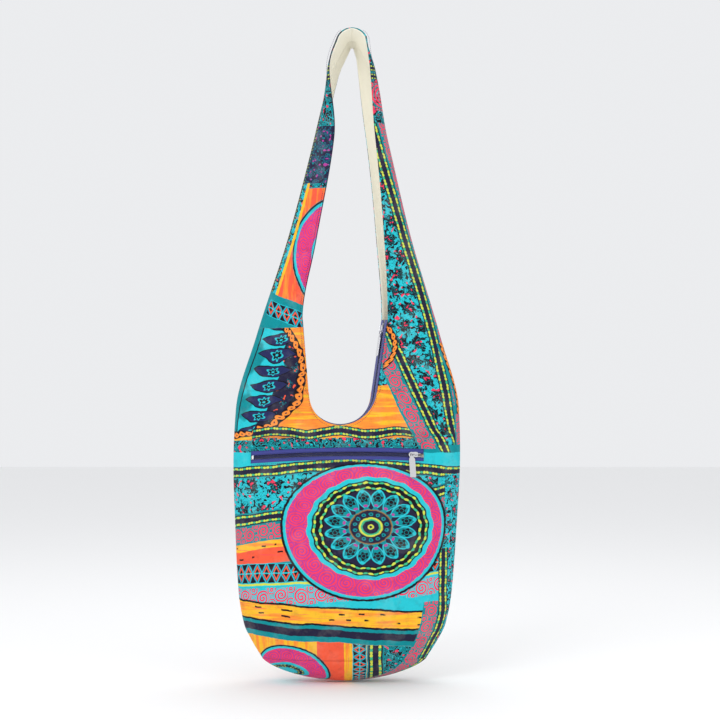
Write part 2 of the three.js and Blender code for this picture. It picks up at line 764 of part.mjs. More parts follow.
// The puller: an eye and a bar with round corners, pointing along -Y from the eye.
const eyeLevel = channelHalf + plate + clearance + 0.3;
function pullerSolid() {
  const bar = new THREE.Shape();
  const w = pullerWidth / 2;
  const corner = 1.6;
  const top = -eyeInner - 0.6;
  bar.moveTo(-w * 0.55, top);
  bar.lineTo(-w, top - 4);
  bar.lineTo(-w, -pullerLength + corner);
  bar.quadraticCurveTo(-w, -pullerLength, -w + corner, -pullerLength);
  bar.lineTo(w - corner, -pullerLength);
  bar.quadraticCurveTo(w, -pullerLength, w, -pullerLength + corner);
  bar.lineTo(w, top - 4);
  bar.lineTo(w * 0.55, top);
  bar.closePath();
  const eye = new THREE.Shape();
  eye.absarc(0, 0, eyeOuter, 0, 2 * Math.PI);
  const hole = new THREE.Path();
  hole.absarc(0, 0, eyeInner, 0, 2 * Math.PI, true);
  const high = eyeLevel + pullerThickness;
  const ring = toSolid(
    new THREE.ExtrudeGeometry(eye, { depth: pullerThickness, bevelEnabled: false, curveSegments: 12 }).translate(0, 0, eyeLevel),
  );
  const drill = new THREE.Shape();
  drill.absarc(0, 0, eyeInner, 0, 2 * Math.PI);
  const bore = toSolid(
    new THREE.ExtrudeGeometry(drill, { depth: pullerThickness + 2, bevelEnabled: false, curveSegments: 12 }).translate(0, 0, eyeLevel - 1),
  );
  return ring.add(extrude(bar, eyeLevel, high)).subtract(bore);
}

function placed(name, solid, material, matrix) {
  const mesh = fromSolid(name, solid, material);
  mesh.geometry.applyMatrix4(matrix);
  return mesh;
}

// A frame whose X runs along a zip, whose Z faces out of it and whose origin is on its tape.
function frameAt(origin, along, out) {
  const x = along.clone().normalize();
  const z = out.clone().addScaledVector(x, -out.dot(x)).normalize();
  const y = z.clone().cross(x);
  return new THREE.Matrix4().makeBasis(x, y, z).setPosition(origin);
}

function pocketFrame(along) {
  const turn = along / pocketCurve;
  const out = pocketOut.clone().multiplyScalar(Math.cos(turn)).addScaledVector(pocketAcross, Math.sin(turn));
  const run = pocketAcross.clone().multiplyScalar(Math.cos(turn)).addScaledVector(pocketOut, -Math.sin(turn));
  return frameAt(pocketPoint(along, 0, 0), run, out);
}

function mainFrame(along) {
  const here = mainPoint(along, 0, 0);
  const run = mainPoint(along + 1, 0, 0).sub(here);
  const deep = mainPoint(along, 1, 0).sub(here);
  const out = run.clone().cross(deep).normalize();
  return frameAt(here, run, out.x < 0 ? out : out.negate());
}

// Where the sliders rest, and what their teeth and stops leave for them
const stopLength = 3;
const nose = sliderLength / 2;
const topStopRoom = 8;
const pocketSliderAt = zipRight - topStopRoom - nose;
const mainSliderAt = openingLength - topStopRoom - nose;
const postBack = nose - 4.4;

function teethCount(start, sliderAt) {
  return Math.floor((sliderAt + postBack - clearance - start - toothPitch / 2) / toothPitch);
}

function stopSolid(halfWidth) {
  return extrude(rectangle(0, stopLength, -halfWidth, halfWidth), -toothHalfHeight, toothHalfHeight);
}
function topStop(side) {
  const inner = side > 0 ? 1.9 : -(tapeEdge - clearance);
  return extrude(rectangle(0, stopLength, inner, inner + 1.1), -toothHalfHeight, toothHalfHeight);
}

const group = new THREE.Group();
group.add(makeFrontPanel());
group.add(makePanel("back_panel", 1, print));
group.add(makeBase("base_panel", print, 0, cloth));
group.add(makeLining("front_lining", -1));
group.add(makeLining("back_lining", 1));
group.add(makeBase("base_lining", cream, liningInset, liningCloth));
group.add(...makePouch());

const pocketStart = zipLeft + stopLength + 2 * clearance + 1;
const pocketTeeth = teethCount(pocketStart, pocketSliderAt);
const onPocket = (along, across) => pocketPoint(along, across, 0);
group.add(makePocketTape("pocket_tape_upper", -1));
group.add(makePocketTape("pocket_tape_lower", 1));
group.add(makeTeeth("pocket_teeth_upper", -1, pocketTeeth, pocketStart, onPocket, true));
group.add(makeTeeth("pocket_teeth_lower", 1, pocketTeeth, pocketStart, onPocket, true));
group.add(placed("pocket_bottom_stop", stopSolid(tapeEdge - clearance), silver, pocketFrame(zipLeft + 1)));
group.add(placed("pocket_top_stop_upper", topStop(1), silver, pocketFrame(pocketSliderAt + nose + clearance)));
group.add(placed("pocket_top_stop_lower", topStop(-1), silver, pocketFrame(pocketSliderAt + nose + clearance)));
group.add(placed("pocket_slider", sliderSolid(), silver, pocketFrame(pocketSliderAt)));

// The pocket's puller hangs on the rear leg of the bail, plumb within the slider's plane.
const eyeHang = eyeInner - bailWire / 2 - clearance;
const legAt = -bailSpan / 2;
const plumb = new THREE.Vector3(0, 0, -1).transformDirection(pocketFrame(pocketSliderAt).invert());
const pocketHang = new THREE.Matrix4().makeTranslation(legAt, 0, 0);
pocketHang.multiply(new THREE.Matrix4().makeRotationZ(Math.atan2(plumb.x, -plumb.y)));
pocketHang.multiply(new THREE.Matrix4().makeTranslation(0, -eyeHang, 0));
group.add(placed("pocket_puller", pullerSolid(), silver, pocketFrame(pocketSliderAt).multiply(pocketHang)));

const mainStart = stopLength + 2 * clearance + 1;
const mainTeeth = teethCount(mainStart, mainSliderAt);
const onMain = (along, depth) => mainPoint(along, depth, 0);
group.add(makeMainTape("main_tape_front", -1));
group.add(makeMainTape("main_tape_back", 1));
group.add(makeTeeth("main_teeth_front", -1, mainTeeth, mainStart, onMain, false));
group.add(makeTeeth("main_teeth_back", 1, mainTeeth, mainStart, onMain, false));
group.add(placed("main_bottom_stop", stopSolid(tapeEdge - clearance), silver, mainFrame(1)));
group.add(placed("main_top_stop_front", topStop(-1), silver, mainFrame(mainSliderAt + nose + clearance)));
group.add(placed("main_top_stop_back", topStop(1), silver, mainFrame(mainSliderAt + nose + clearance)));
group.add(placed("main_slider", sliderSolid(), silver, mainFrame(mainSliderAt)));

// The main puller hangs through the bail, down along the zip.
const mainHang = new THREE.Matrix4().makeTranslation(legAt - eyeHang, 0, 0);
mainHang.multiply(new THREE.Matrix4().makeRotationZ(-Math.PI / 2));
group.add(placed("main_puller", pullerSolid(), silver, mainFrame(mainSliderAt).multiply(mainHang)));

export default group;
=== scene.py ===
"""A crossbody sling bag in printed cotton, hanging by its strap. Metres, +Z up, +Y to the back.

Shapes are worked out in millimetres below the hang point, whose depth below it is called a drop.
"""

import json
import math

import bmesh
import bpy
import numpy as np
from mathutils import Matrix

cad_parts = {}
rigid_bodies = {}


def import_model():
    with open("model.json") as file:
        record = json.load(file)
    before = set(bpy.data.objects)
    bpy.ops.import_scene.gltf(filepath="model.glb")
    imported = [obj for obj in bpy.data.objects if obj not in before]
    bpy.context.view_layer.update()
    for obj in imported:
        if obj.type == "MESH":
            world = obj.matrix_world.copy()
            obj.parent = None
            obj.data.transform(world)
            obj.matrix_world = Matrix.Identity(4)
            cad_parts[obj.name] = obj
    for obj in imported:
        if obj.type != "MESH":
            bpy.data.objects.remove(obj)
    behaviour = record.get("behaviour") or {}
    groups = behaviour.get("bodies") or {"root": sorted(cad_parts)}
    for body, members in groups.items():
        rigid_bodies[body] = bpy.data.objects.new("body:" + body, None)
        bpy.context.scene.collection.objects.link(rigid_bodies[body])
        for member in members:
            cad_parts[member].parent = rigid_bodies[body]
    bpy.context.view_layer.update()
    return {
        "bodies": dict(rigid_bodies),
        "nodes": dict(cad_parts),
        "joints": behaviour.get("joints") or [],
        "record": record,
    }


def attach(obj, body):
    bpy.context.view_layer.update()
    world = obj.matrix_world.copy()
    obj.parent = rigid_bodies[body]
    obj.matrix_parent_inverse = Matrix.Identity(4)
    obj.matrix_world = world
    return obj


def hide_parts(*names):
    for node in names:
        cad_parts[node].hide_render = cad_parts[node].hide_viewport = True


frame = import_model()
nodes = frame["nodes"]

# Sizes of the bag, in millimetres
STRAP_DROP = 577.0
BODY_DROP = 383.0
BODY_WIDTH = 340.0
BODY_DEPTH = 116.0
BASE_WIDTH = 246.0
BASE_CROWN = 34.0
LEAN = 12.0
STRAP_HALF = 31.0
STRAP_BEND = 11.0
FRONT_TILT = 0.45
BACK_TILT = 0.16
ARM_TURN = 0.27
OPENING_RADIUS = 51.0
OPENING_X = -18.0
LEFT_FLARE = math.radians(4.5)
RIGHT_FLARE = math.radians(8.0)
CLOTH = 1.0
LINING_CLOTH = 0.8
LINING_GAP = 1.2
CLEARANCE = 0.3
SEAM_GAP = 0.3

# Sizes of the zips
ZIP_HEIGHT = 157.0
ZIP_HALF = 16.0
TAPE = 0.6
TAPE_EDGE = 3.3
POCKET_FROM_LEFT = 20.0
POCKET_FROM_RIGHT = 64.0
POCKET_FALL = 42.0
POCKET_CURVE = 800.0
POCKET_FRONT = 37.0
POCKET_LEAN = math.radians(26.0)
POCKET_X = 5.0
SLOT_HALF = 10.0
TAPE_LAP = 4.0
POUCH_DROP = 165.0
POUCH_FULL = 9.0
TOP_STOP_ROOM = 8.0
SLIDER_NOSE = 5.5

# Sewing, in millimetres
HEM_RADIUS = 0.85
HEM_IN = 0.9
HEM_SUNK = 0.55
STITCH_PITCH = 3.0
STITCH_LENGTH = 2.2
THREAD_RADIUS = 0.3
EDGE_TO_STITCH = 4.5
SLOT_TO_STITCH = 2.6

BASE_SEAM = STRAP_DROP + BODY_DROP - BASE_CROWN
ZIP_TOP = STRAP_DROP - ZIP_HEIGHT
ARC_DROP = STRAP_DROP - OPENING_RADIUS
HALF = BODY_WIDTH / 2
POCKET_LEFT = POCKET_FROM_LEFT - HALF
POCKET_RIGHT = HALF - POCKET_FROM_RIGHT
POCKET_DROP = STRAP_DROP + POCKET_FALL
POUCH_LEFT = POCKET_LEFT - 7
POUCH_RIGHT = POCKET_RIGHT + 8
POUCH_TOP = POCKET_DROP - 14
POUCH_BOTTOM = POCKET_DROP + POUCH_DROP
LINING_INSET = CLOTH + LINING_GAP
BEND_END = math.radians(60.0)
BEND_DROP = STRAP_BEND * (1 - math.cos(BEND_END))
BEND_WIDTH = STRAP_BEND * math.sin(BEND_END)


# Helpers

def lerp(a, b, t):
    """The value a share t of the way from a to b."""
    return a + (b - a) * t


def smooth(low, high, value):
    """0 below low, 1 above high and an S-shaped cubic between them."""
    t = np.clip((value - low) / (high - low), 0, 1)
    return t * t * (3 - 2 * t)


def soft_min(a, b, width):
    """The lesser of a and b, with the corner between them rounded over a width."""
    h = np.clip(0.5 + (b - a) / (2 * width), 0, 1)
    return b + (a - b) * h - width * h * (1 - h)


def through(points):
    """A cubic curve through points, whose slopes are harmonic means, so it never overshoots."""
    px, py = (np.array(v, float) for v in zip(*points))
    slope = np.diff(py) / np.diff(px)
    product = slope[:-1] * slope[1:]
    total = slope[:-1] + slope[1:]
    middle = np.where(product > 0, 2 * product / np.where(product > 0, total, 1), 0)
    tangent = np.concatenate([slope[:1], middle, slope[-1:]])

    def curve(x):
        x = np.asarray(x, float)
        i = np.clip(np.searchsorted(px, x, side="left") - 1, 0, len(px) - 2)
        h = px[i + 1] - px[i]
        t = np.clip((x - px[i]) / h, 0, 1)
        ends = py[i] * (1 + 2 * t) * (1 - t) ** 2 + py[i + 1] * t * t * (3 - 2 * t)
        return ends + h * tangent[i] * t * (1 - t) ** 2 - h * tangent[i + 1] * t * t * (1 - t)

    return curve


# The bag's outline and depths

def below(share):
    """The drop a share of the way down the body."""
    return STRAP_DROP + share * BODY_DROP


outer_half = through([
    (BEND_DROP, BEND_WIDTH), (0.083 * STRAP_DROP, 0.18 * HALF), (0.27 * STRAP_DROP, 0.33 * HALF),
    (0.52 * STRAP_DROP, 0.545 * HALF), (0.77 * STRAP_DROP, 0.81 * HALF),
    (0.965 * STRAP_DROP, 0.985 * HALF), (below(0.13), HALF), (below(0.4), 0.976 * HALF),
    (below(0.65), 0.94 * HALF), (below(0.78), (HALF + BASE_WIDTH / 2) * 0.515),
    (below(0.85), (HALF + BASE_WIDTH / 2) * 0.47), (BASE_SEAM, BASE_WIDTH / 2),
])


def middle_x(drop):
    """The bag's middle line, which leans evenly to the left going down."""
    return -LEAN * drop / (STRAP_DROP + BODY_DROP)


LEFT_TOUCH = OPENING_X - OPENING_RADIUS * math.cos(LEFT_FLARE)
RIGHT_TOUCH = OPENING_X + OPENING_RADIUS * math.cos(RIGHT_FLARE)
LEFT_TOUCH_DROP = ARC_DROP + OPENING_RADIUS * math.sin(LEFT_FLARE)
RIGHT_TOUCH_DROP = ARC_DROP + OPENING_RADIUS * math.sin(RIGHT_FLARE)


def left_side(drop):
    """The opening's straight left side."""
    return LEFT_TOUCH - (LEFT_TOUCH_DROP - drop) * math.tan(LEFT_FLARE)


def right_side(drop):
    """The opening's straight right side."""
    return RIGHT_TOUCH + (RIGHT_TOUCH_DROP - drop) * math.tan(RIGHT_FLARE)


left_strap = through([
    (BEND_DROP, -BEND_WIDTH + 1), (0.083 * STRAP_DROP, -23), (0.29 * STRAP_DROP, -35),
    (0.52 * STRAP_DROP, -58), (ZIP_TOP, left_side(ZIP_TOP)), (ARC_DROP, left_side(ARC_DROP)),
])
right_strap = through([
    (BEND_DROP, BEND_WIDTH - 1), (0.13 * STRAP_DROP, 18), (0.29 * STRAP_DROP, 30),
    (0.47 * STRAP_DROP, 40), (ZIP_TOP, right_side(ZIP_TOP)), (ARC_DROP, right_side(ARC_DROP)),
])


def inner_x(side, drop):
    """The arm's inner edge: the strap's curve above the zip, the opening's side below it."""
    straight = left_side(drop) if side < 0 else right_side(drop)
    curved = left_strap(drop) if side < 0 else right_strap(drop)
    return np.where(drop >= ZIP_TOP, straight, curved)


def outer_x(side, drop):
    """The arm's and the body's outer edge."""
    return middle_x(drop) + side * outer_half(drop)


edge_depth = through([
    (0, STRAP_HALF), (0.13 * STRAP_DROP, 0.94 * STRAP_HALF), (0.3 * STRAP_DROP, 0.78 * STRAP_HALF),
    (0.55 * STRAP_DROP, 0.7 * STRAP_HALF), (ZIP_TOP, ZIP_HALF), (STRAP_DROP, ZIP_HALF),
])
full_depth = through([
    (0, STRAP_HALF), (0.13 * STRAP_DROP, 0.94 * STRAP_HALF), (0.3 * STRAP_DROP, 0.8 * STRAP_HALF),
    (0.55 * STRAP_DROP, 0.76 * STRAP_HALF), (ZIP_TOP, 1.4 * ZIP_HALF), (ARC_DROP, 2.1 * ZIP_HALF),
    (below(0.16), 0.43 * BODY_DEPTH), (below(0.38), 0.49 * BODY_DEPTH),
    (below(0.6), 0.5 * BODY_DEPTH), (below(0.8), 0.45 * BODY_DEPTH),
    (BASE_SEAM, 0.355 * BODY_DEPTH),
])
CROSS_POWER = 2.2
OPENING_SLOPE = 0.45


def round_depth(fill, drop):
    """Half depth of a superellipse cross-section, a share fill of the way in from its edge."""
    rim = np.maximum(0, 1 - (1 - np.minimum(1, fill)) ** CROSS_POWER)
    return full_depth(drop) * np.sqrt(rim)


def arm_depth(fill, drop, side):
    """The superellipse, held down near the arm's inner edge by a straight slope."""
    reach = np.abs(outer_x(side, drop) - inner_x(side, drop))
    limit = edge_depth(drop) + OPENING_SLOPE * (1 - fill) * reach
    return soft_min(round_depth(fill, drop), limit, 0.001 + 6 * smooth(0, ZIP_TOP, drop))


LEAN_SIN = math.sin(POCKET_LEAN)
LEAN_COS = math.cos(POCKET_LEAN)
POCKET_OUT = np.array([0, -LEAN_COS, LEAN_SIN])
POCKET_DOWN = np.array([0, -LEAN_SIN, -LEAN_COS])
POCKET_ACROSS = np.array([1.0, 0, 0])
POCKET_ORIGIN = np.array([POCKET_X, -POCKET_FRONT, -POCKET_DROP])
PRINT_OUT = TAPE / 2 + CLEARANCE + CLOTH


def pocket_point(along, across, out):
    """A point of the pocket zip's cylinder: an arc along, straight across, and off it by out."""
    turn = np.asarray(along, float)[..., None] / POCKET_CURVE
    across = np.asarray(across, float)[..., None]
    out = np.asarray(out, float)[..., None]
    radius = POCKET_CURVE + out
    lifted = POCKET_OUT * (radius * np.cos(turn) - POCKET_CURVE)
    return POCKET_ORIGIN + lifted + POCKET_ACROSS * (radius * np.sin(turn)) + POCKET_DOWN * across


def along_at(x):
    """The length along the pocket zip at which it reaches x."""
    return POCKET_CURVE * np.arcsin((x - POCKET_X) / POCKET_CURVE)


def zip_fall(x):
    """How far the print falls back from the pocket zip's middle towards its ends."""
    flat = POCKET_CURVE + PRINT_OUT
    return flat - np.sqrt(flat * flat - (x - POCKET_X) ** 2) - PRINT_OUT


def body_depth(x, drop, face):
    """Half depth of the body: the cross-section, held down round the opening, and on the front
    blended into the flat band that carries the pocket zip."""
    width = outer_half(drop)
    offset = x - middle_x(drop)
    arm_left = np.abs(outer_x(-1, ARC_DROP) - inner_x(-1, ARC_DROP))
    arm_right = np.abs(outer_x(1, ARC_DROP) - inner_x(1, ARC_DROP))
    arm = np.where(offset < 0, arm_left, arm_right)
    reach = lerp(arm, width, smooth(ARC_DROP, STRAP_DROP + 40, drop))
    fill = (width - np.abs(offset)) / reach
    far = np.hypot(x - OPENING_X, drop - ARC_DROP) - OPENING_RADIUS
    limit = ZIP_HALF + OPENING_SLOPE * np.maximum(0, far)
    free = soft_min(round_depth(fill, drop), limit, 6)
    if face > 0:
        return free
    fall = zip_fall(x)
    across = (drop - POCKET_DROP - fall * LEAN_SIN) / LEAN_COS
    pocket = POCKET_FRONT - fall * LEAN_COS + across * LEAN_SIN
    near = 1 - smooth(SLOT_HALF + TAPE_LAP + 2, 42, np.abs(across))
    left = smooth(POCKET_LEFT - 24, POCKET_LEFT - 8, x)
    right = 1 - smooth(POCKET_RIGHT + 8, POCKET_RIGHT + 36, x)
    return lerp(free, pocket, near * np.minimum(left, right))


LEFT_LENGTH = (LEFT_TOUCH_DROP - ZIP_TOP) / math.cos(LEFT_FLARE)
ARC_LENGTH = OPENING_RADIUS * (math.pi - LEFT_FLARE - RIGHT_FLARE)
RIGHT_LENGTH = (RIGHT_TOUCH_DROP - ZIP_TOP) / math.cos(RIGHT_FLARE)
OPENING_LENGTH = LEFT_LENGTH + ARC_LENGTH + RIGHT_LENGTH
LEFT_ARC = LEFT_LENGTH - (LEFT_TOUCH_DROP - ARC_DROP) / math.cos(LEFT_FLARE)
RIGHT_ARC = LEFT_LENGTH + ARC_LENGTH + (RIGHT_TOUCH_DROP - ARC_DROP) / math.cos(RIGHT_FLARE)


def opening_edge(length):
    """x, drop and the inward x and z of the U-shaped edge: a straight, an arc, a straight."""
    length = np.asarray(length, float)
    on_left = length <= LEFT_LENGTH
    on_right = length >= LEFT_LENGTH + ARC_LENGTH
    turn = math.pi - LEFT_FLARE - (length - LEFT_LENGTH) / OPENING_RADIUS
    x = OPENING_X + OPENING_RADIUS * np.cos(turn)
    drop = ARC_DROP + OPENING_RADIUS * np.sin(turn)
    in_x, in_z = -np.cos(turn), np.sin(turn)
    left_drop = ZIP_TOP + length * math.cos(LEFT_FLARE)
    right_drop = RIGHT_TOUCH_DROP - (length - LEFT_LENGTH - ARC_LENGTH) * math.cos(RIGHT_FLARE)
    x = np.where(on_left, left_side(left_drop), np.where(on_right, right_side(right_drop), x))
    drop = np.where(on_left, left_drop, np.where(on_right, right_drop, drop))
    in_x = np.where(on_left, math.cos(LEFT_FLARE), np.where(on_right, -math.cos(RIGHT_FLARE), in_x))
    in_z = np.where(on_left, math.sin(LEFT_FLARE), np.where(on_right, math.sin(RIGHT_FLARE), in_z))
    return x, drop, in_x, in_z


def turned(x, y, drop, out_x=0.0, out_z=0.0):
    """Shears a point by its depth y: outwards and up at the strap's top, to the right lower down."""
    top = 1 - smooth(20, 150, drop)
    tilt = top * np.where(y < 0, FRONT_TILT, BACK_TILT)
    turn = (1 - top) * ARM_TURN * (1 - smooth(ARC_DROP, STRAP_DROP + 13, drop))
    return np.stack(np.broadcast_arrays(x - (tilt * out_x + turn) * y, y, -drop - tilt * out_z * y), -1)


# The cloth's grids of corners

ARM_COLUMNS = 26
OPENING_COLUMNS = 56
BEND_ROWS = 10
STRAP_ROWS = 80
ARM_ROWS = 112
ABOVE_ROWS = 22
SLOT_ROWS = 4
BELOW_ROWS = 74


def folds(point, normal, x, drop, rim, face):
    """Soft folds of hanging cloth: sums of sines along and across the drop, each with a window
    that keeps it to its own part of the bag, moved along the surface's own normal."""
    arm = smooth(60, 160, drop) * (1 - smooth(470, 560, drop))
    body = smooth(500, 620, drop)
    side = np.sign(x - middle_x(drop))
    out = np.abs(x - middle_x(drop)) / np.maximum(outer_half(drop), 1)
    phase = 0.7 * face
    long_fold = np.sin(x / 13.0 + drop / 90.0 + phase) * np.sin(drop / 120.0 + 1.3 * side)
    pull = np.sin((x * 0.62 + (drop - 560) * side) / 19.0 + phase) * np.exp(-((drop - 590) / 80.0) ** 2)
    pull = pull * smooth(0.3, 0.55, out) * (1 - smooth(0.9, 1.0, out))
    sag = np.sin((drop - 640) / 34.0 + x / 70.0 + phase) * np.sin(x / 47.0 + 0.6 * face)
    corner = np.sin((drop + 0.5 * side * x) / 12.0) * smooth(0.6, 0.85, out) * smooth(790, 860, drop)
    ripple = np.sin(x / 4.1 + 0.5 * np.sin(x / 17.0)) * np.exp(-((drop - POCKET_DROP + 16) / 9.0) ** 2)
    lower = np.sin(x / 4.7 + 1.0) * np.exp(-((drop - POCKET_DROP - 22) / 10.0) ** 2)
    size = arm * 1.5 * long_fold + body * (1.9 * sag + 1.1 * corner) + 1.5 * pull
    if face < 0:
        size = size + 0.45 * (ripple + lower)
        near_zip = 1 - smooth(13, 34, np.abs(drop - POCKET_DROP))
        size = size * (1 - near_zip * (1 - 0.25 * smooth(10.5, 16, np.abs(drop - POCKET_DROP))))
    far = np.hypot(x - OPENING_X, drop - ARC_DROP) - OPENING_RADIUS
    size = size * smooth(1, 22, np.where(drop > ARC_DROP, far, 99))
    size = size * (1 - smooth(BASE_SEAM - 18, BASE_SEAM - 2, drop)) * smooth(0, 16, rim)
    return point + normal * size[..., None]


def grid_normals(grid):
    """Unit normals of a grid of points: the cross product of its two central differences."""
    down = np.gradient(grid, axis=0)
    across = np.gradient(grid, axis=1)
    normal = np.cross(across, down)
    return normal / np.maximum(np.linalg.norm(normal, axis=-1, keepdims=True), 1e-9)


def facing_normals(grid, face):
    """Normals of a grid turned towards its own face of the bag, and 1 where they already were."""
    normal = grid_normals(grid)
    facing = np.sign(np.sum(normal[..., 1] * face))
    return normal * facing, facing


def arc_from(grid, column):
    """For each row of a grid, the length in plan from one column to each other column."""
    steps = np.hypot(np.diff(grid[..., 0], axis=1), np.diff(grid[..., 1], axis=1))
    run = np.concatenate([np.zeros((len(grid), 1)), np.cumsum(steps, axis=1)], axis=1)
    return run - run[:, column:column + 1]


def arm_patch(side, face):
    """One arm of one face: rows from the strap's top down to the opening's bend, and columns from
    the folded outer edge to the inner edge. Over the top the rows turn round a 60 degree bend."""
    j = np.arange(ARM_COLUMNS + 1) / ARM_COLUMNS
    fill = (1 - np.cos(j * math.pi / 2))[None, :]
    turn = (BEND_END * np.arange(BEND_ROWS) / BEND_ROWS)[:, None]
    radius = STRAP_BEND - fill * turn / BEND_END
    bend_drop = STRAP_BEND - radius * np.cos(turn)
    bend_x = middle_x(bend_drop) + side * radius * np.sin(turn)
    bend_y = face * np.maximum(SEAM_GAP / 2, round_depth(fill, bend_drop))
    bend = turned(bend_x, bend_y, bend_drop, side * np.sin(turn), np.cos(turn))
    above = lerp(BEND_DROP, ZIP_TOP, (np.arange(STRAP_ROWS) / STRAP_ROWS) ** 1.2)
    drop = np.concatenate([above, np.linspace(ZIP_TOP, ARC_DROP, ARM_ROWS - STRAP_ROWS + 1)])[:, None]
    slope = outer_half(drop + 1) - outer_half(drop)
    size = np.hypot(1, slope)
    x = lerp(outer_x(side, drop), inner_x(side, drop), fill)
    y = face * np.maximum(SEAM_GAP / 2, arm_depth(fill, drop, side))
    arm = turned(x, y, drop, side / size, slope / size)
    points = np.concatenate([bend, arm])
    plan_x = np.concatenate([np.broadcast_to(bend_x, bend_x.shape), x])
    plan_drop = np.concatenate([bend_drop, np.broadcast_to(drop, x.shape)])
    inner = arc_from(points, ARM_COLUMNS)
    u = points[:, -1:, 0] - side * inner
    return points, plan_x, plan_drop, u, -inner, arc_from(points, 0)


def row_drops(x, top):
    """Drops of the body's rows at each x: they run level, but follow the pocket zip's arc."""
    zip_drop = POCKET_DROP + zip_fall(x) * LEAN_SIN
    band = SLOT_HALF * LEAN_COS
    upper = np.linspace(0, 1, ABOVE_ROWS + 1)[:, None]
    slot = np.linspace(-1, 1, SLOT_ROWS + 1)[1:, None]
    lower = np.linspace(0, 1, BELOW_ROWS + 1)[1:, None]
    return np.concatenate([
        lerp(top, zip_drop - band, upper), zip_drop + slot * band,
        lerp(zip_drop + band, BASE_SEAM, lower ** 0.96),
    ])


def body_patch(face):
    """The body of one face: columns fan from the side seams and from the opening's bend, and rows
    run down to the base seam."""
    j = np.arange(ARM_COLUMNS) / ARM_COLUMNS
    fill = 1 - np.cos(j * math.pi / 2)
    parts_x, parts_drop = [], []

    def side_columns(side, fill):
        middle = lerp(outer_x(side, STRAP_DROP), inner_x(side, ARC_DROP), fill)
        drop = row_drops(middle, np.full_like(middle, ARC_DROP))
        return lerp(outer_x(side, drop), inner_x(side, ARC_DROP), fill[None, :]), drop

    x, drop = side_columns(-1, fill)
    parts_x.append(x)
    parts_drop.append(drop)
    length = np.linspace(LEFT_ARC, RIGHT_ARC, OPENING_COLUMNS + 1)
    edge_x, edge_drop, _, _ = opening_edge(length)
    drop = row_drops(edge_x, edge_drop)
    parts_x.append(np.broadcast_to(edge_x, drop.shape))
    parts_drop.append(drop)
    x, drop = side_columns(1, fill[::-1])
    parts_x.append(x)
    parts_drop.append(drop)
    x = np.concatenate(parts_x, axis=1)
    drop = np.concatenate(parts_drop, axis=1)
    y = face * np.maximum(SEAM_GAP / 2, body_depth(x, drop, face))
    points = turned(x, y, drop)
    left, right = ARM_COLUMNS, ARM_COLUMNS + OPENING_COLUMNS
    run = arc_from(points, left)
    width = run[:, right:right + 1]
    left_x, right_x = points[:, left:left + 1, 0], points[:, right:right + 1, 0]
    middle = left_x + (right_x - left_x) * run / width
    u = np.where(run < 0, left_x + run, np.where(run > width, right_x + run - width, middle))
    far = np.hypot(x - OPENING_X, drop - ARC_DROP) - OPENING_RADIUS
    rim = arc_from(points, 0)
    return points, x, drop, u, far, np.minimum(rim, rim[:, -1:] - rim)


def weld(points, faces, fields):
    """Corners in the same place, to a hundredth of a millimetre, become one."""
    _, first, same = np.unique(np.round(points * 100).astype(np.int64), axis=0,
                               return_index=True, return_inverse=True)
    same = same.reshape(-1)
    faces = same[faces]
    return points[first], faces, [f[first] for f in fields]


def grid_faces(rows, columns, start, flip):
    """Quads that join a grid of corners numbered row by row."""
    i = np.arange(rows - 1)[:, None] * columns + np.arange(columns - 1)[None, :] + start
    quads = np.stack([i, i + columns, i + columns + 1, i + 1], -1).reshape(-1, 4)
    return quads[:, ::-1] if flip else quads


def mesh_piece(name, points, faces, uvs=None, smooth_faces=True):
    """An object at the origin from corners in millimetres, faces and per-corner pattern maps."""
    mesh = bpy.data.meshes.new(name)
    faces = np.asarray(faces)
    mesh.vertices.add(len(points))
    mesh.vertices.foreach_set("co", (np.asarray(points, float) / 1000).ravel())
    mesh.loops.add(faces.size)
    mesh.loops.foreach_set("vertex_index", faces.ravel())
    mesh.polygons.add(len(faces))
    sides = faces.shape[1]
    mesh.polygons.foreach_set("loop_start", np.arange(len(faces)) * sides)
    mesh.polygons.foreach_set("loop_total", np.full(len(faces), sides))
    mesh.polygons.foreach_set("use_smooth", np.full(len(faces), smooth_faces))
    mesh.update(calc_edges=True)
    mesh.validate()
    for label, uv in (uvs or {}).items():
        layer = mesh.uv_layers.new(name=label)
        layer.data.foreach_set("uv", np.asarray(uv, float)[faces.ravel()].ravel())
    piece = bpy.data.objects.new(name, mesh)
    bpy.context.scene.collection.objects.link(piece)
    return piece


PARTS = {}


def parts_of(face):
    """The two arms and the body of one face, worked out once."""
    if face not in PARTS:
        PARTS[face] = (arm_patch(-1, face), arm_patch(1, face), body_patch(face))
    return PARTS[face]


def panel_surface(face, inset=None):
    """Both arms and the body of one face, welded: corners, quads, and how far each corner is
    across, down, from the opening's edge and from the side seam. The print is folded softly, and
    a lining lies in from it by its own inset."""
    parts, quads, count = [], [], 0
    for points, x, drop, u, far, rim in parts_of(face):
        normal, facing = facing_normals(points, face)
        points = folds(points, normal, x, drop, rim, face)
        if inset is not None:
            points = points - normal * inset(x, drop)[..., None]
            points[..., 1] = np.where(rim < 0.01, face * SEAM_GAP / 2, points[..., 1])
            points[..., 2] = np.maximum(points[..., 2], -BASE_SEAM + SEAM_GAP / 2)
        rows, columns = x.shape
        quads.append(grid_faces(rows, columns, count, facing > 0))
        count += rows * columns
        parts.append([points.reshape(-1, 3)] + [field.ravel() for field in (x, drop, u, far, rim)])
    points, *fields = (np.concatenate([p[i] for p in parts]) for i in range(6))
    return weld(points, np.concatenate(quads), fields)


# Colours and the nodes of a material

def srgb(red, green, blue):
    """A colour given 0 to 255, as the linear light that a shader takes."""
    shares = [((v / 255 + 0.055) / 1.055) ** 2.4 if v > 10 else v / 3294 for v in (red, green, blue)]
    return (*shares, 1.0)


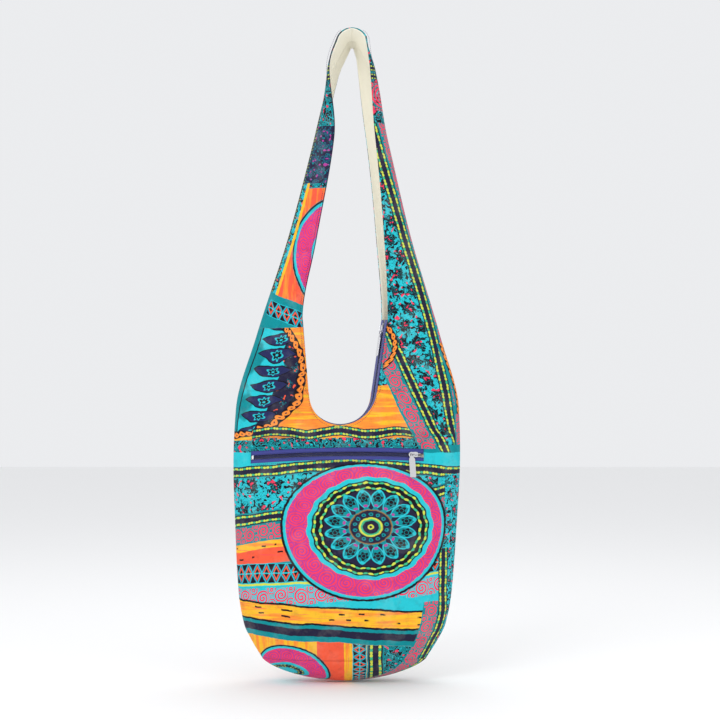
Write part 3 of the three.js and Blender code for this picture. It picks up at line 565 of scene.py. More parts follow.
TEAL = srgb(4, 138, 146)
CYAN = srgb(38, 192, 204)
NAVY = srgb(38, 42, 86)
NIGHT = srgb(34, 32, 58)
INK = srgb(20, 16, 26)
BEAD = srgb(208, 216, 74)
MINT = srgb(58, 182, 130)
GOLD = srgb(244, 186, 44)
ORANGE = srgb(246, 142, 54)
CORAL = srgb(240, 92, 62)
ROSE = srgb(236, 60, 94)
MAUVE = srgb(176, 62, 150)
BRONZE = srgb(150, 110, 50)
CREAM = srgb(236, 232, 216)


class Wire:
    """A number flowing through a material's nodes, with the arithmetic of the pattern on it."""

    def __init__(self, tree, value):
        self.tree = tree
        self.value = value

    def run(self, operation, *others):
        node = self.tree.nodes.new("ShaderNodeMath")
        node.operation = operation
        for slot, item in zip(node.inputs, (self, *others)):
            item = item.value if isinstance(item, Wire) else item
            if isinstance(item, bpy.types.NodeSocket):
                self.tree.links.new(item, slot)
            else:
                slot.default_value = float(item)
        return Wire(self.tree, node.outputs[0])

    def __add__(self, other):
        return self.run("ADD", other)

    def __radd__(self, other):
        return self.run("ADD", other)

    def __sub__(self, other):
        return self.run("SUBTRACT", other)

    def __rsub__(self, other):
        return Wire(self.tree, other).run("SUBTRACT", self)

    def __mul__(self, other):
        return self.run("MULTIPLY", other)

    def __rmul__(self, other):
        return self.run("MULTIPLY", other)

    def __truediv__(self, other):
        return self.run("DIVIDE", other)

    def __neg__(self):
        return self.run("MULTIPLY", -1)

    def __abs__(self):
        return self.run("ABSOLUTE")

    def sin(self):
        return self.run("SINE")

    def fract(self):
        return self.run("FRACT")

    def floor(self):
        return self.run("FLOOR")

    def least(self, other):
        return self.run("MINIMUM", other)

    def most(self, other):
        return self.run("MAXIMUM", other)

    def length(self, other):
        """The length of a vector from two numbers at right angles."""
        return (self * self + other * other).run("SQRT")

    def share(self):
        """The value held between 0 and 1."""
        node = self.tree.nodes.new("ShaderNodeClamp")
        self.tree.links.new(self.value, node.inputs["Value"])
        return Wire(self.tree, node.outputs[0])

    def angle(self, other):
        return self.run("ARCTAN2", other)

    def under(self, limit, blur=0.35):
        """1 where the value is less than the limit, 0 where it is more, blurred a little between."""
        return (limit - self).run("MULTIPLY_ADD", 0.5 / blur, 0.5).share()

    def over(self, limit, blur=0.35):
        """1 where the value is more than the limit, 0 where it is less, blurred a little between."""
        return (self - limit).run("MULTIPLY_ADD", 0.5 / blur, 0.5).share()

    def between(self, low, high, blur=0.35):
        """1 between two limits and 0 outside them."""
        middle, half = (low + high) / 2, (high - low) / 2
        return abs(self - middle).under(half, blur)


class Dye:
    """The colour of a printed cloth, to which each motif is added through its mask."""

    def __init__(self, tree, color):
        self.tree = tree
        self.value = color

    def add(self, mask, color):
        node = self.tree.nodes.new("ShaderNodeMix")
        node.data_type = "RGBA"
        factor, first, second = node.inputs["Factor"], node.inputs[6], node.inputs[7]
        if isinstance(mask, Wire):
            self.tree.links.new(mask.value, factor)
        else:
            factor.default_value = mask
        for slot, item in ((first, self.value), (second, color)):
            if isinstance(item, bpy.types.NodeSocket):
                self.tree.links.new(item, slot)
            else:
                slot.default_value = item
        self.value = node.outputs[2]
        return self


def new_material(name):
    """A material with its tree, shader and output, and nothing else."""
    material = bpy.data.materials.new(name)
    material.use_nodes = True
    tree = material.node_tree
    return material, tree, tree.nodes["Principled BSDF"]


def pattern_map(tree, name):
    """The two coordinates of a pattern map of the cloth, in millimetres."""
    source = tree.nodes.new("ShaderNodeUVMap")
    source.uv_map = name
    split = tree.nodes.new("ShaderNodeSeparateXYZ")
    tree.links.new(source.outputs[0], split.inputs[0])
    return Wire(tree, split.outputs[0]), Wire(tree, split.outputs[1])


def joined(tree, *parts):
    """A vector from separate numbers."""
    node = tree.nodes.new("ShaderNodeCombineXYZ")
    for slot, part in zip(node.inputs, parts):
        if isinstance(part, Wire):
            tree.links.new(part.value, slot)
        else:
            slot.default_value = part
    return node.outputs[0]


def noise(tree, vector, scale, detail=2.0, rough=0.5):
    """Soft random values round 0.5."""
    node = tree.nodes.new("ShaderNodeTexNoise")
    node.inputs["Scale"].default_value = scale
    node.inputs["Detail"].default_value = detail
    node.inputs["Roughness"].default_value = rough
    tree.links.new(vector, node.inputs["Vector"])
    return Wire(tree, node.outputs["Fac" if "Fac" in node.outputs else 0])


def place_of(tree):
    """Where a point of the piece is, in metres."""
    return tree.nodes.new("ShaderNodeTexCoord").outputs["Object"]


def weave_height(tree, u, v, pitch):
    """A plain weave: each thread is a rounded ridge that goes over one neighbour and under the
    next, so the height is the product of two waves of twice the pitch."""
    over = (u * (math.pi / pitch)).sin()
    under = (v * (math.pi / pitch)).sin()
    fine = abs((u * (math.pi / pitch)).sin()) + abs((v * (math.pi / pitch)).sin())
    return over * under * 0.5 + fine * 0.5


def add_bump(tree, shader, height, strength, distance):
    """Raises the finish by a height, in metres."""
    bump = tree.nodes.new("ShaderNodeBump")
    bump.inputs["Strength"].default_value = strength
    bump.inputs["Distance"].default_value = distance
    tree.links.new(height.value, bump.inputs["Height"])
    tree.links.new(bump.outputs[0], shader.inputs["Normal"])
    return bump


def cell_of(value, pitch):
    """How far a value is from the middle of its own repeat."""
    return ((value / pitch).fract() - 0.5) * pitch


def cloth_group(name, draw, labels):
    """A group of nodes that draws on the dye from named coordinates."""
    group = bpy.data.node_groups.new(name, "ShaderNodeTree")
    group.interface.new_socket("Dye", in_out="INPUT", socket_type="NodeSocketColor")
    for label in labels:
        group.interface.new_socket(label, in_out="INPUT", socket_type="NodeSocketFloat")
    group.interface.new_socket("Dye", in_out="OUTPUT", socket_type="NodeSocketColor")
    source = group.nodes.new("NodeGroupInput")
    dye = Dye(group, source.outputs["Dye"])
    draw(dye, *[Wire(group, source.outputs[label]) for label in labels])
    group.links.new(dye.value, group.nodes.new("NodeGroupOutput").inputs["Dye"])
    return group


def use_group(dye, group, *wires):
    """Puts a group of nodes on the dye."""
    node = dye.tree.nodes.new("ShaderNodeGroup")
    node.node_tree = group
    for slot, item in zip(node.inputs, (dye, *wires)):
        if isinstance(item.value, bpy.types.NodeSocket):
            dye.tree.links.new(item.value, slot)
        else:
            slot.default_value = item.value
    dye.value = node.outputs["Dye"]
    return dye


# Motifs of the print

MOTIFS = {}


def motif(draw):
    """Draws a motif once for each set of its sizes and colours, as a group of nodes that takes
    the dye so far, a mask, two coordinates and any noise, so that a long print stays light."""

    def place(dye, mask, first, second, *sizes, **others):
        fields = [size for size in sizes if isinstance(size, Wire)]
        sizes = tuple(size for size in sizes if not isinstance(size, Wire))
        key = (draw.__name__, sizes, tuple(sorted(others.items())))
        if key not in MOTIFS:
            labels = ["Mask", "First", "Second"] + [f"Field {i}" for i in range(len(fields))]
            MOTIFS[key] = cloth_group(
                draw.__name__, lambda inner, *wires: draw(inner, *wires, *sizes, **others), labels)
        return use_group(dye, MOTIFS[key], mask, first, second, *fields)

    return place


@motif
def beads(dye, mask, along, across, half, pitch=4.4, ground=NIGHT, bead=BEAD, other=MINT):
    """A dark stripe with a thin row of beads near each of its edges, yellow and green by turns."""
    dye.add(mask * abs(across).under(half), ground)
    row = abs(across) - half * 0.6
    dot = (cell_of(along, pitch) * 0.7).length(row)
    beaded = mask * dot.under(half * 0.19)
    dye.add(beaded, other)
    dye.add(beaded * (along / (3 * pitch)).fract().under(0.66, 0.01), bead)
    return dye


@motif
def vine(dye, mask, along, across, half, pitch, line=ROSE, width=2.0):
    """A row of spirals that wind left and right by turns. A spiral is where the distance from its
    middle, less its angle as a share of a turn, comes round again. Arcs fill the gaps between."""
    inside = mask * abs(across).under(half)
    side = ((along / (2 * pitch)).fract() - 0.5).run("SIGN")
    run = cell_of(along, pitch)
    high = across - side * (half * 0.12)
    reach = run.length(high)
    turn = (high * side).angle(run) * (0.5 / math.pi)
    arm = (reach / (2.0 * width) - turn).fract()
    dye.add(inside * abs(arm - 0.5).under(0.29, 0.08) * reach.under(half * 0.9), line)
    gap = cell_of(along + pitch / 2, pitch)
    corner = gap.length(abs(across) - half * 0.8)
    arcs = abs((corner / (1.8 * width)).fract() - 0.5).under(0.25, 0.08)
    dye.add(inside * reach.over(half * 0.95) * corner.under(half * 0.75) * arcs, line)
    return dye


@motif
def flourish(dye, mask, u, v, curl, spot, pitch, flower=INK, glow=CYAN, fleck=ROSE, share=0.4):
    """Dark flowers among curling leaves. A six-petalled shape with a pale line inside it stands
    in each cell, bent a little by the noise. Leaves are where one noise is high, their pale
    outlines where it is near its middle, and red flecks where another noise is high."""
    dye.add(mask * curl.over(0.6, 0.02), flower)
    dye.add(mask * abs(curl - 0.42).under(0.014, 0.012), flower)
    u = u + (spot - 0.5) * (pitch * 0.7)
    v = v + (curl - 0.5) * (pitch * 0.5)
    row = (v / pitch).floor()
    dx = cell_of(u + (row / 2).fract() * pitch, pitch)
    dy = cell_of(v, pitch)
    reach = dx.length(dy)
    edge = ((dy.angle(dx) * 6).sin() * 0.22 + 0.85) * (pitch * share)
    dye.add(mask * (reach - edge * 1.15).under(0, 0.4), glow)
    dye.add(mask * (reach - edge).under(0, 0.4), flower)
    dye.add(mask * abs(reach - edge * 0.55).under(0.45, 0.3), glow)
    dye.add(mask * reach.under(pitch * 0.07), fleck)
    dye.add(mask * spot.over(0.72, 0.02), fleck)
    return dye


@motif
def eyes(dye, mask, u, v, long, tall, dark=NAVY, glow=CYAN):
    """Pointed almond shapes lying in a column, each a dark lens round a black flower with a pale
    outline. A lens is where the height plus the length squared stays small."""
    dy = cell_of(v, tall)
    lens = abs(dy) + u * u * (tall * 1.7 / (long * long))
    dye.add(mask * lens.under(tall * 0.43), INK)
    dye.add(mask * lens.under(tall * 0.36), dark)
    reach = (u * 0.62).length(dy)
    edge = ((dy.angle(u) * 6).sin() * 0.2 + 0.8) * (tall * 0.3)
    dye.add(mask * (reach - edge).under(0, 0.4), glow)
    dye.add(mask * (reach - edge * 0.72).under(0, 0.4), INK)
    dye.add(mask * reach.under(tall * 0.06), glow)
    return dye


@motif
def triangles(dye, mask, along, across, half, pitch, up=CORAL, line=CYAN, ground=NAVY):
    """Two rows of triangles with their feet on a pale middle line. A zigzag line runs where the
    height plus the distance from a triangle's middle makes a whole row."""
    inside = mask * abs(across).under(half)
    dye.add(inside, ground)
    height = abs(across) / half
    run = abs(cell_of(along, pitch)) * (2.0 / pitch)
    slope = height + run
    dye.add(inside * slope.over(1.3, 0.05), INK)
    dye.add(inside * slope.under(0.78, 0.05), up)
    dye.add(inside * slope.under(0.5, 0.05), INK)
    dye.add(inside * abs(slope - 1.05).under(0.12, 0.05), line)
    dye.add(mask * abs(abs(across) - half + 0.3).under(0.5), line)
    dye.add(mask * abs(across).under(0.9), line)
    return dye


@motif
def dashes(dye, mask, along, across, half, pitch, color=INK):
    """Short strokes laid along a line here and there: slow waves move them and leave some out."""
    waver = (along * (1.3 / pitch)).sin() * 0.5
    mark = abs(cell_of(along + waver * pitch * 0.5, pitch)).under(pitch * 0.15)
    some = (along * (1.9 / pitch) + 1.0).sin().over(-0.3, 0.1)
    dye.add(mask * some * mark * abs(across + waver * half).under(half * 0.3), color)
    return dye


@motif
def chain(dye, mask, along, across, half, pitch):
    """A border of slanting orange links on black, each with a dark middle."""
    dye.add(mask * abs(across).under(half), INK)
    run = cell_of(along + across * 0.7, pitch)
    link = abs(across) + run * run * (half * 2.6 / (pitch * pitch))
    dye.add(mask * link.under(half * 0.74), ORANGE)
    dye.add(mask * run.length(across * 1.3).under(half * 0.24), NIGHT)
    return dye


@motif
def brushed(dye, mask, wide, fine, ground=GOLD, warm=ORANGE, dark=ROSE):
    """Paint brushed along a band: long streaks of a warmer tone, and a few thin dark ones."""
    dye.add(mask, ground)
    dye.add(mask * wide.over(0.55, 0.06), warm)
    dye.add(mask * fine.over(0.64, 0.04) * 0.7, dark)
    return dye


class Grain:
    """Noise fields that every part of the print shares, all worked out before it: a slow wander
    and a fine shake of its lines, brush streaks across and down, and curls and flecks."""

    LABELS = ("wander", "shake", "across", "across_fine", "down", "down_fine", "curl", "spot")
    SCALES = ((0.02, 0.02, 2.0), (0.15, 0.15, 1.0), (0.015, 0.16, 3.0), (0.02, 0.7, 2.0),
              (0.16, 0.015, 3.0), (0.7, 0.02, 2.0), (0.2, 0.2, 0.0), (0.14, 0.14, 0.0))

    def __init__(self, *fields):
        for label, field in zip(self.LABELS, fields):
            setattr(self, label, field)

    @classmethod
    def drawn(cls, tree, u, d):
        """The fields' values on a material's own tree."""
        return [noise(tree, joined(tree, u * across, d * down, 3.0 * i + 1.0), 1.0, detail)
                for i, (across, down, detail) in enumerate(cls.SCALES)]


def egg_of(u, d, across, down, wide, tall):
    """How far out a place is in an oval, where 1 is its edge, and its angle round the middle."""
    x = (u - across) / wide
    y = (d - down) / tall
    return x.length(y), y.angle(x)


def small_medallion(dye, mask, egg, turn, size):
    """Rings of a smaller oval: outline, sky ring, spirals on mauve, sky ring, beads."""
    dye.add(mask * egg.under(1.0, 0.01), CYAN)
    ring = mask * egg.between(0.5, 0.9, 0.01)
    dye.add(ring, MAUVE)
    middle = 0.7 * size
    pitch = 2 * math.pi * 0.7 * size / 14
    vine(dye, ring, turn * middle, (egg - 0.7) * size, 0.19 * size, pitch, ROSE, 1.7)
    dye.add(mask * abs(egg - 0.98).under(1.4 / size, 0.01), INK)
    beads(dye, mask, turn * (0.32 * size), (egg - 0.32) * size, 0.08 * size)
    return dye


def arm_print(dye, grain, u, d, far, rim, left, right):
    """The strap's print: flowers on dark at the top, an orange field on the left arm and long
    beaded bands on the right arm."""
    arms = d.under(432.0)
    dye.add(arms, TEAL)
    flourish(dye, arms * d.under(222.0), u, d, grain.curl, grain.spot, 26.0)
    dye.add(left * d.between(132.0, 216.0), NIGHT)
    flourish(dye, left * d.between(132.0, 216.0), u, d, grain.curl, grain.spot, 19.0, NAVY, TEAL, MAUVE)
    field = left * d.between(224.0, 400.0)
    brushed(dye, field, grain.down, grain.down_fine, CORAL, ORANGE, ROSE)
    egg, turn = egg_of(u, d, -30.0, 324.0, 59.0, 84.0)
    small_medallion(dye, field, egg, turn, 70.0)
    strip = left * d.between(216.0, 404.0)
    dye.add(strip * rim.under(20.0), GOLD)
    dye.add(strip * rim.under(15.0), CYAN)
    flourish(dye, strip * rim.under(15.0), rim, d, grain.curl, grain.spot, 13.0, INK, TEAL, ROSE, 0.3)
    beads(dye, left * d.under(404.0), d, rim - 2.0, 4.0)
    slope = d - u * 0.4 - 452.0
    dye.add(left * slope.between(-24.0, 30.0) * d.under(470.0), TEAL)
    triangles(dye, left * rim.over(8.0) * d.under(470.0), u, slope, 12.5, 13.0)
    for level in (50.0, 62.0):
        beads(dye, d.under(75.0), far, d - level, 4.5)
    vine(dye, right * d.between(66.0, 116.0), far, d - 90.0, 20.0, 30.0, ROSE, 2.4)

    long_arm = right * d.between(128.0, 606.0)
    stripe = u - (d * 0.3 - 10.0).least(d * 0.22 + 27.0)
    dye.add(long_arm, TEAL)
    dye.add(long_arm * stripe.under(0.0), CYAN)
    flourish(dye, long_arm * stripe.under(0.0), stripe, d, grain.curl, grain.spot, 26.0, INK, TEAL, ROSE)
    vine(dye, long_arm * stripe.over(0.0), d, stripe - 21.0, 9.5, 20.0, ROSE, 2.2)
    beads(dye, long_arm, d, stripe, 8.5)


def upper_print(dye, grain, u, d, rim, left, right):
    """The body's print above the pocket: almond shapes inside a chain border on the left, painted
    orange under the opening, and two bands that run down to the pocket's right end."""
    field = d.between(432.0, 608.0)
    warp = grain.wander - 0.5
    curve, turn = egg_of(u + warp * 30, d + warp * 22, -174.0, 496.0, 102.0, 97.0)
    slant = u - (d - 465.0) * 0.4788 - 68.0
    under = field * slant.under(-37.0) * (1.0 - right * d.under(518.0))
    brushed(dye, under, grain.across, grain.across_fine, ORANGE, GOLD, CORAL)
    inside = field * curve.under(1.0, 0.004) * left
    dye.add(inside, NIGHT)
    flourish(dye, inside, u, d, grain.curl, grain.spot, 24.0, NIGHT, TEAL, CORAL, 0.25)
    pool = inside * (u + warp * 60 + (d - 510.0) * 0.35).under(-118.0, 1.0)
    dye.add(pool, CYAN)
    dye.add(pool * (warp + 0.5).over(0.56, 0.03), TEAL)
    column = u + 128.0 + (d - 520.0) * 0.3
    eyes(dye, inside * abs(column).under(32.0), column, d + warp * 12, 62.0, 23.0)
    dye.add(inside * rim.under(12.0), TEAL)
    dye.add(inside * abs(rim - 12.5).under(1.2), INK)
    border = field * left * curve.between(0.9, 1.05, 0.004)
    chain(dye, border, turn * 98.0, (curve - 0.975) * 98.0, 5.4, 11.0)

    bands = d.between(444.0, 612.0) * slant.between(-38.0, 0.0) * u.over(30.0)
    dye.add(bands, TEAL)
    vine(dye, bands, d, slant + 23.0, 12.0, 25.0, ROSE, 2.3)
    beads(dye, right * d.between(440.0, 618.0), d, slant, 8.5)
    reach = (u - 30.0).length(d - 459.0)
    chain(dye, right * d.between(412.0, 506.0) * u.over(46.0), (d - 459.0), reach - 35.0, 4.6, 9.0)

    above = d.between(578.0, 624.0) * slant.under(-38.0) * u.over(-150.0)
    dye.add(above * d.over(598.0), TEAL)
    flourish(dye, above * d.over(596.0), u, d, grain.curl, grain.spot, 21.0)
    wave = d - (u * 0.07).sin() * 2.5 - 588.0
    beads(dye, above * d.under(606.0), u, wave, 7.5)
    dye.add(d.between(600.0, 626.0) * u.under(-150.0), TEAL)
    flourish(dye, d.between(600.0, 626.0) * u.under(-150.0), u, d, grain.curl, grain.spot, 18.0)


def lower_print(dye, grain, u, d):
    """The body's print below the pocket, band by band."""
    low = d.over(618.0)
    rise = d - abs(u) * 0.085
    dye.add(low, TEAL)
    dye.add(low * rise.under(641.0), CYAN)
    beads(dye, low, u, rise - 633.0, 8.0)
    climb = d + u * 0.15
    motifs = low * rise.over(642.0) * climb.under(684.0)
    dye.add(motifs, CYAN)
    flourish(dye, motifs, u, d, grain.curl, grain.spot, 38.0, INK, TEAL, ROSE, 0.3)
    beads(dye, low, u, climb - 695.0, 8.5)
    band = low * climb.over(703.5)
    dye.add(band, TEAL)
    vine(dye, band, u, climb - 716.0, 11.0, 24.0, ROSE, 2.2)
    coral = low * climb.between(729.0, 762.0)
    brushed(dye, coral, grain.across, grain.across_fine, CORAL, CORAL, ROSE)
    brushed(dye, low * climb.between(729.0, 740.0), grain.across, grain.across_fine, GOLD, ORANGE, ROSE)
    dashes(dye, coral, u, climb - 735.0, 4.0, 21.0)
    dashes(dye, coral, u + 9.0, climb - 749.0, 4.0, 26.0)
    easy = d + u * 0.06
    triangles(dye, low, u, easy - 788.0, 14.5, 15.0)
    dye.add(low * easy.over(803.0), CYAN)
    dye.add(low * easy.between(803.0, 806.0), BEAD)
    vine(dye, low * easy.over(806.0), u, easy - 822.0, 12.5, 30.0, ROSE, 2.2)
    slope = d - u * 0.055
    dye.add(low * slope.over(845.0), INK)
    gold = low * slope.between(848.0, 872.0)
    brushed(dye, gold, grain.across, grain.across_fine, GOLD, ORANGE, ROSE)
    dashes(dye, gold, u, slope - 855.0, 4.0, 38.0)
    dashes(dye, gold, u + 17.0, slope - 864.0, 4.0, 32.0)
    dye.add(low * slope.over(872.0), INK)
    dye.add(low * slope.over(875.0), TEAL)
    dye.add(low * slope.between(880.0, 891.0), NIGHT)
    foot = low * slope.over(899.0)
    brushed(dye, foot, grain.down, grain.down_fine, GOLD, ORANGE, ROSE)
    dye.add(foot * u.over(-52.0), CORAL)
    egg, turn = egg_of(u, d, -97.0, 958.0, 66.0, 56.0)
    small_medallion(dye, foot, egg, turn, 62.0)
    strip = foot * u.over(-11.0)
    brushed(dye, strip, grain.down, grain.down_fine, GOLD, ORANGE, ROSE)
    triangles(dye, strip, d, u - 11.0, 10.0, 11.0)
    dye.add(strip * u.over(22.0), TEAL)
    beads(dye, strip, d, u - 35.0, 11.0)
    dye.add(strip * u.over(48.0), TEAL)
    flourish(dye, strip * u.over(48.0), u, d, grain.curl, grain.spot, 22.0)


def right_print(dye, grain, u, d, rim):
    """Bands that come down the right side and cross the others: spirals, then a double row of
    beads that bends in under the body, then dark flowers out to the side seam."""
    bend = u - 142.0 + (d - 830.0).most(0.0) * (d - 830.0).most(0.0) * 0.0035
    low = d.over(650.0)
    side = low * bend.over(-34.0) * d.over(838.0)
    dye.add(side, TEAL)
    vine(dye, side, d, bend + 21.0, 11.0, 24.0, ROSE, 2.1)
    floral = low * bend.over(0.0)
    dye.add(floral, CYAN)
    flourish(dye, floral, bend, d, grain.curl, grain.spot, 21.0)
    beads(dye, low * d.over(760.0), d, bend, 8.5)
    edge = d.between(455.0, 606.0) * (rim.under(16.0) * u.over(60.0))
    dye.add(edge, TEAL)
    chain(dye, edge * d.under(560.0), d, rim - 7.0, 5.0, 11.0)
    vine(dye, edge * d.over(560.0), d, rim - 7.0, 6.5, 15.0, ROSE, 1.8)


def patchwork(dye, u, d, far, rim, *fields):
    """The printed patchwork. u runs across the cloth and d down from the hang point, far is the
    distance from the strap's and opening's edge, rim from the side seam."""
    grain = Grain(*fields)
    bend = (grain.wander - 0.5) * 7.0
    shake = (grain.shake - 0.5) * 1.8
    d = d + bend + shake
    u = u + bend * 0.6 - shake
    far = far + shake
    rim = rim + shake
    left = u.under(-18.0, 1.0)
    right = u.over(18.0, 1.0)
    arm_print(dye, grain, u, d, far, rim, left, right)
    upper_print(dye, grain, u, d, rim, left, right)
    lower_print(dye, grain, u, d)
    right_print(dye, grain, u, d, rim)


def worn(dye, u, d):
    """Slight pale wear and blotches of the dye over the whole print."""
    tree = dye.tree
    pale = (noise(tree, joined(tree, u * 0.03, d * 0.03, 11.0), 1.0, 4.0, 0.6) - 0.5) * 0.35
    dye.add(pale.most(0.0), CREAM)
    deep = (noise(tree, joined(tree, u * 0.08, d * 0.08, 17.0), 1.0, 3.0, 0.6) - 0.5) * 0.9
    dye.add(deep.most(0.0), NIGHT)


def medallion(dye, u, d, shake):
    """Oval rings round a dark flower. The outer rings and the inner rings have middles of their
    own, and each ring is a band of its oval's radius."""
    u = u + (shake - 0.5) * 2.4
    d = d + (shake - 0.5) * 2.4
    height = (d - 724.5).over(0.0, 6.0) * 18.0 + 93.0
    x, y = (u - 19.5) / 126.0, (d - 724.5) / height
    egg, turn = x.length(y), y.angle(x)
    dye.add(egg.under(1.0, 0.004), INK)
    dye.add(egg.under(0.97, 0.004), CYAN)
    ring = egg.between(0.6, 0.935, 0.006)
    dye.add(ring, MAUVE)
    vine(dye, ring, turn * 88.0, (egg - 0.8) * 106.0, 14.5, 2 * math.pi * 88.0 / 22, ROSE, 1.9)

    inner, angle = egg_of(u, d, 28.0, 728.0, 88.0, 70.0)
    lobes = (angle * 20).sin() * 0.012
    inner = inner + lobes
    dye.add(inner.under(1.08, 0.006), CYAN)
    dye.add(inner.under(1.0, 0.006), INK)
    dye.add(inner.under(0.8, 0.006), NIGHT)
    for radius, count in ((0.955, 66), (0.845, 60)):
        run = ((angle * (count / (2 * math.pi))).fract() - 0.5) * (2 * math.pi * 82 * radius / count)
        dot = (run * 0.42).length((inner - radius) * 78.0)
        long = (angle * (count / (4 * math.pi))).fract().under(0.5, 0.01)
        row = inner.under(1.0, 0.006) * dot.under(1.6)
        dye.add(row, MINT)
        dye.add(row * long, BEAD)

    core, angle = egg_of(u, d, 28.0, 726.0, 71.0, 57.0)
    petals = 16
    spread = ((angle * (petals / (2 * math.pi))).fract() - 0.5) * 2
    body = core.between(0.5, 0.98, 0.01)
    tongue = abs(spread) + (core - 0.72) * (core - 0.72) * 14.0
    dye.add(body * abs(tongue - 0.92).under(0.12, 0.06), CYAN)
    dye.add(body * tongue.under(0.72, 0.05), TEAL)
    run = spread * 10.0
    bud = run.length((core - 0.76) * 64.0)
    wave = (((core - 0.76) * 64.0).angle(run) * 5).sin() * 1.5 + 6.2
    dye.add(body * (bud - wave).under(0.0, 0.4), INK)
    dye.add(body * abs(bud - 3.2).under(0.4, 0.3), TEAL)
    tip = run.length((core - 0.93) * 64.0)
    dye.add(body * tip.under(2.2, 0.4), CYAN)
    root = (spread * 5.0).length((core - 0.56) * 64.0)
    dye.add(body * root.under(2.0, 0.4), MAUVE)
    points = abs((angle * (16 / (2 * math.pi))).fract() - 0.5) * 2
    dye.add(core.under(0.58, 0.01) * (core - 0.54 + points * 0.09).under(0.0, 0.01), TEAL)
    dye.add(core.under(0.45, 0.01), BRONZE)
    dye.add(core.under(0.425, 0.01), NIGHT)
    beads_run = ((angle * (14 / (2 * math.pi))).fract() - 0.5) * 10.0
    dye.add(core.under(0.42, 0.01) * beads_run.length((core - 0.335) * 64.0).under(3.0, 0.4), TEAL)
    dye.add(core.under(0.42, 0.01) * beads_run.length((core - 0.335) * 64.0).under(1.2, 0.4), INK)
    dye.add(core.under(0.25, 0.01), BEAD)
    dye.add(core.under(0.21, 0.01), MINT)
    dye.add(core.under(0.17, 0.01), NIGHT)
    dye.add(core.under(0.065, 0.01), BEAD)
    dye.add(core.under(0.03, 0.01), NIGHT)


PATCHWORK = cloth_group("patchwork", patchwork, ("u", "d", "far", "rim", *Grain.LABELS))
MEDALLION = cloth_group("medallion", medallion, ("u", "d", "shake"))
WORN = cloth_group("worn", worn, ("u", "d"))


def printed_cotton(name, with_medallion):
    """Printed plain-weave cotton: the dye of the patchwork over a fine weave, soft and matt."""
    material, tree, shader = new_material(name)
    u, d = pattern_map(tree, "cloth")
    far, rim = pattern_map(tree, "edges")
    grain = Grain.drawn(tree, u, d)
    dye = use_group(Dye(tree, TEAL), PATCHWORK, u, d, far, rim, *grain)
    if with_medallion:
        use_group(dye, MEDALLION, u, d, grain[1])
    use_group(dye, WORN, u, d)
    finish_cotton(tree, shader, dye)
    return material


def finish_cotton(tree, shader, dye):
    """Threads and fuzz that every cotton of the bag shares, with the weave's hollows painted darker and its
    ridges lighter as painted shade, and random slub tone.
    """
    u, d = pattern_map(tree, "cloth")
    thread = weave_height(tree, u, d, 0.55)
    slub = noise(tree, joined(tree, u * 0.25, d * 4.0, 0.0), 1.0, 2.0)
    # Painted shade of the weave's hollows and lighter ridges, plus random slub tone
    weave_shade_and_slub = (thread - 0.5) * 0.05 + (slub - 0.5) * 0.07
    dark = tree.nodes.new("ShaderNodeHueSaturation")
    value = weave_shade_and_slub + 1.0
    tree.links.new(value.value, dark.inputs["Value"])
    if isinstance(dye.value, bpy.types.NodeSocket):
        tree.links.new(dye.value, dark.inputs["Color"])
    else:
        dark.inputs["Color"].default_value = dye.value
    tree.links.new(dark.outputs[0], shader.inputs["Base Color"])
    shader.inputs["Roughness"].default_value = 0.86
    shader.inputs["Sheen Weight"].default_value = 0.06
    shader.inputs["Sheen Roughness"].default_value = 0.5
    shader.inputs["Specular IOR Level"].default_value = 0.15
    crease = noise(tree, joined(tree, u * 0.05, d * 0.05, 5.0), 1.0, 4.0, 0.55)
    add_bump(tree, shader, thread * 0.2 + crease * 3.0, 0.5, 0.0006)


def plain_cotton(name, color):
    """Undyed plain-weave cotton for the lining and the pocket."""
    material, tree, shader = new_material(name)
    u, d = pattern_map(tree, "cloth")
    dye = Dye(tree, color)
    stain = noise(tree, joined(tree, u * 0.02, d * 0.02, 2.0), 1.0, 4.0)
    dye.add((stain - 0.35) * 0.5, tuple(v * 0.82 for v in color[:3]) + (1.0,))
    finish_cotton(tree, shader, dye)
    return material


def tube(path, normal, radius, around=8):
    """A round profile carried along a path: at each point a circle in the plane of the normal and
    the direction across it. Its ends are left open."""
    along = np.gradient(path, axis=0)
    along /= np.linalg.norm(along, axis=1, keepdims=True)
    across = np.cross(along, normal)
    across /= np.linalg.norm(across, axis=1, keepdims=True)
    up = np.cross(across, along)
    turn = 2 * math.pi * np.arange(around) / around
    ring = across[:, None] * np.cos(turn)[None, :, None] + up[:, None] * np.sin(turn)[None, :, None]
    points = path[:, None] + radius * ring
    count = len(path)
    i = np.arange(count - 1)[:, None] * around
    j = np.arange(around)[None, :]
    k = (j + 1) % around
    faces = np.stack([i + j, i + k, i + around + k, i + around + j], -1).reshape(-1, 4)
    return points.reshape(-1, 3), faces


BAR_SIDES = 6
BAR_RINGS = 5


def bars(name, centres, frame, run, wide, high):
    """A row of small six-sided bars with closed ends, one at each centre. Frame is the three
    directions at each centre, and run, wide and high are how far each corner of a bar lies along
    them."""
    points = centres[:, None]
    for way, reach in zip(frame, (run, wide, high)):
        points = points + way[:, None] * reach[None, :, None]
    i = np.arange(BAR_RINGS - 1)[:, None] * BAR_SIDES
    j = np.arange(BAR_SIDES)[None, :]
    k = (j + 1) % BAR_SIDES
    one = np.stack([i + j, i + k, i + BAR_SIDES + k, i + BAR_SIDES + j], -1).reshape(-1, 4)
    ends = np.array([[3, 2, 1, 0], [5, 4, 3, 0], [24, 25, 26, 27], [24, 27, 28, 29]])
    one = np.concatenate([one, ends])
    starts = np.arange(len(centres)) * BAR_SIDES * BAR_RINGS
    return mesh_piece(name, points.reshape(-1, 3), (one[None] + starts[:, None, None]).reshape(-1, 4))


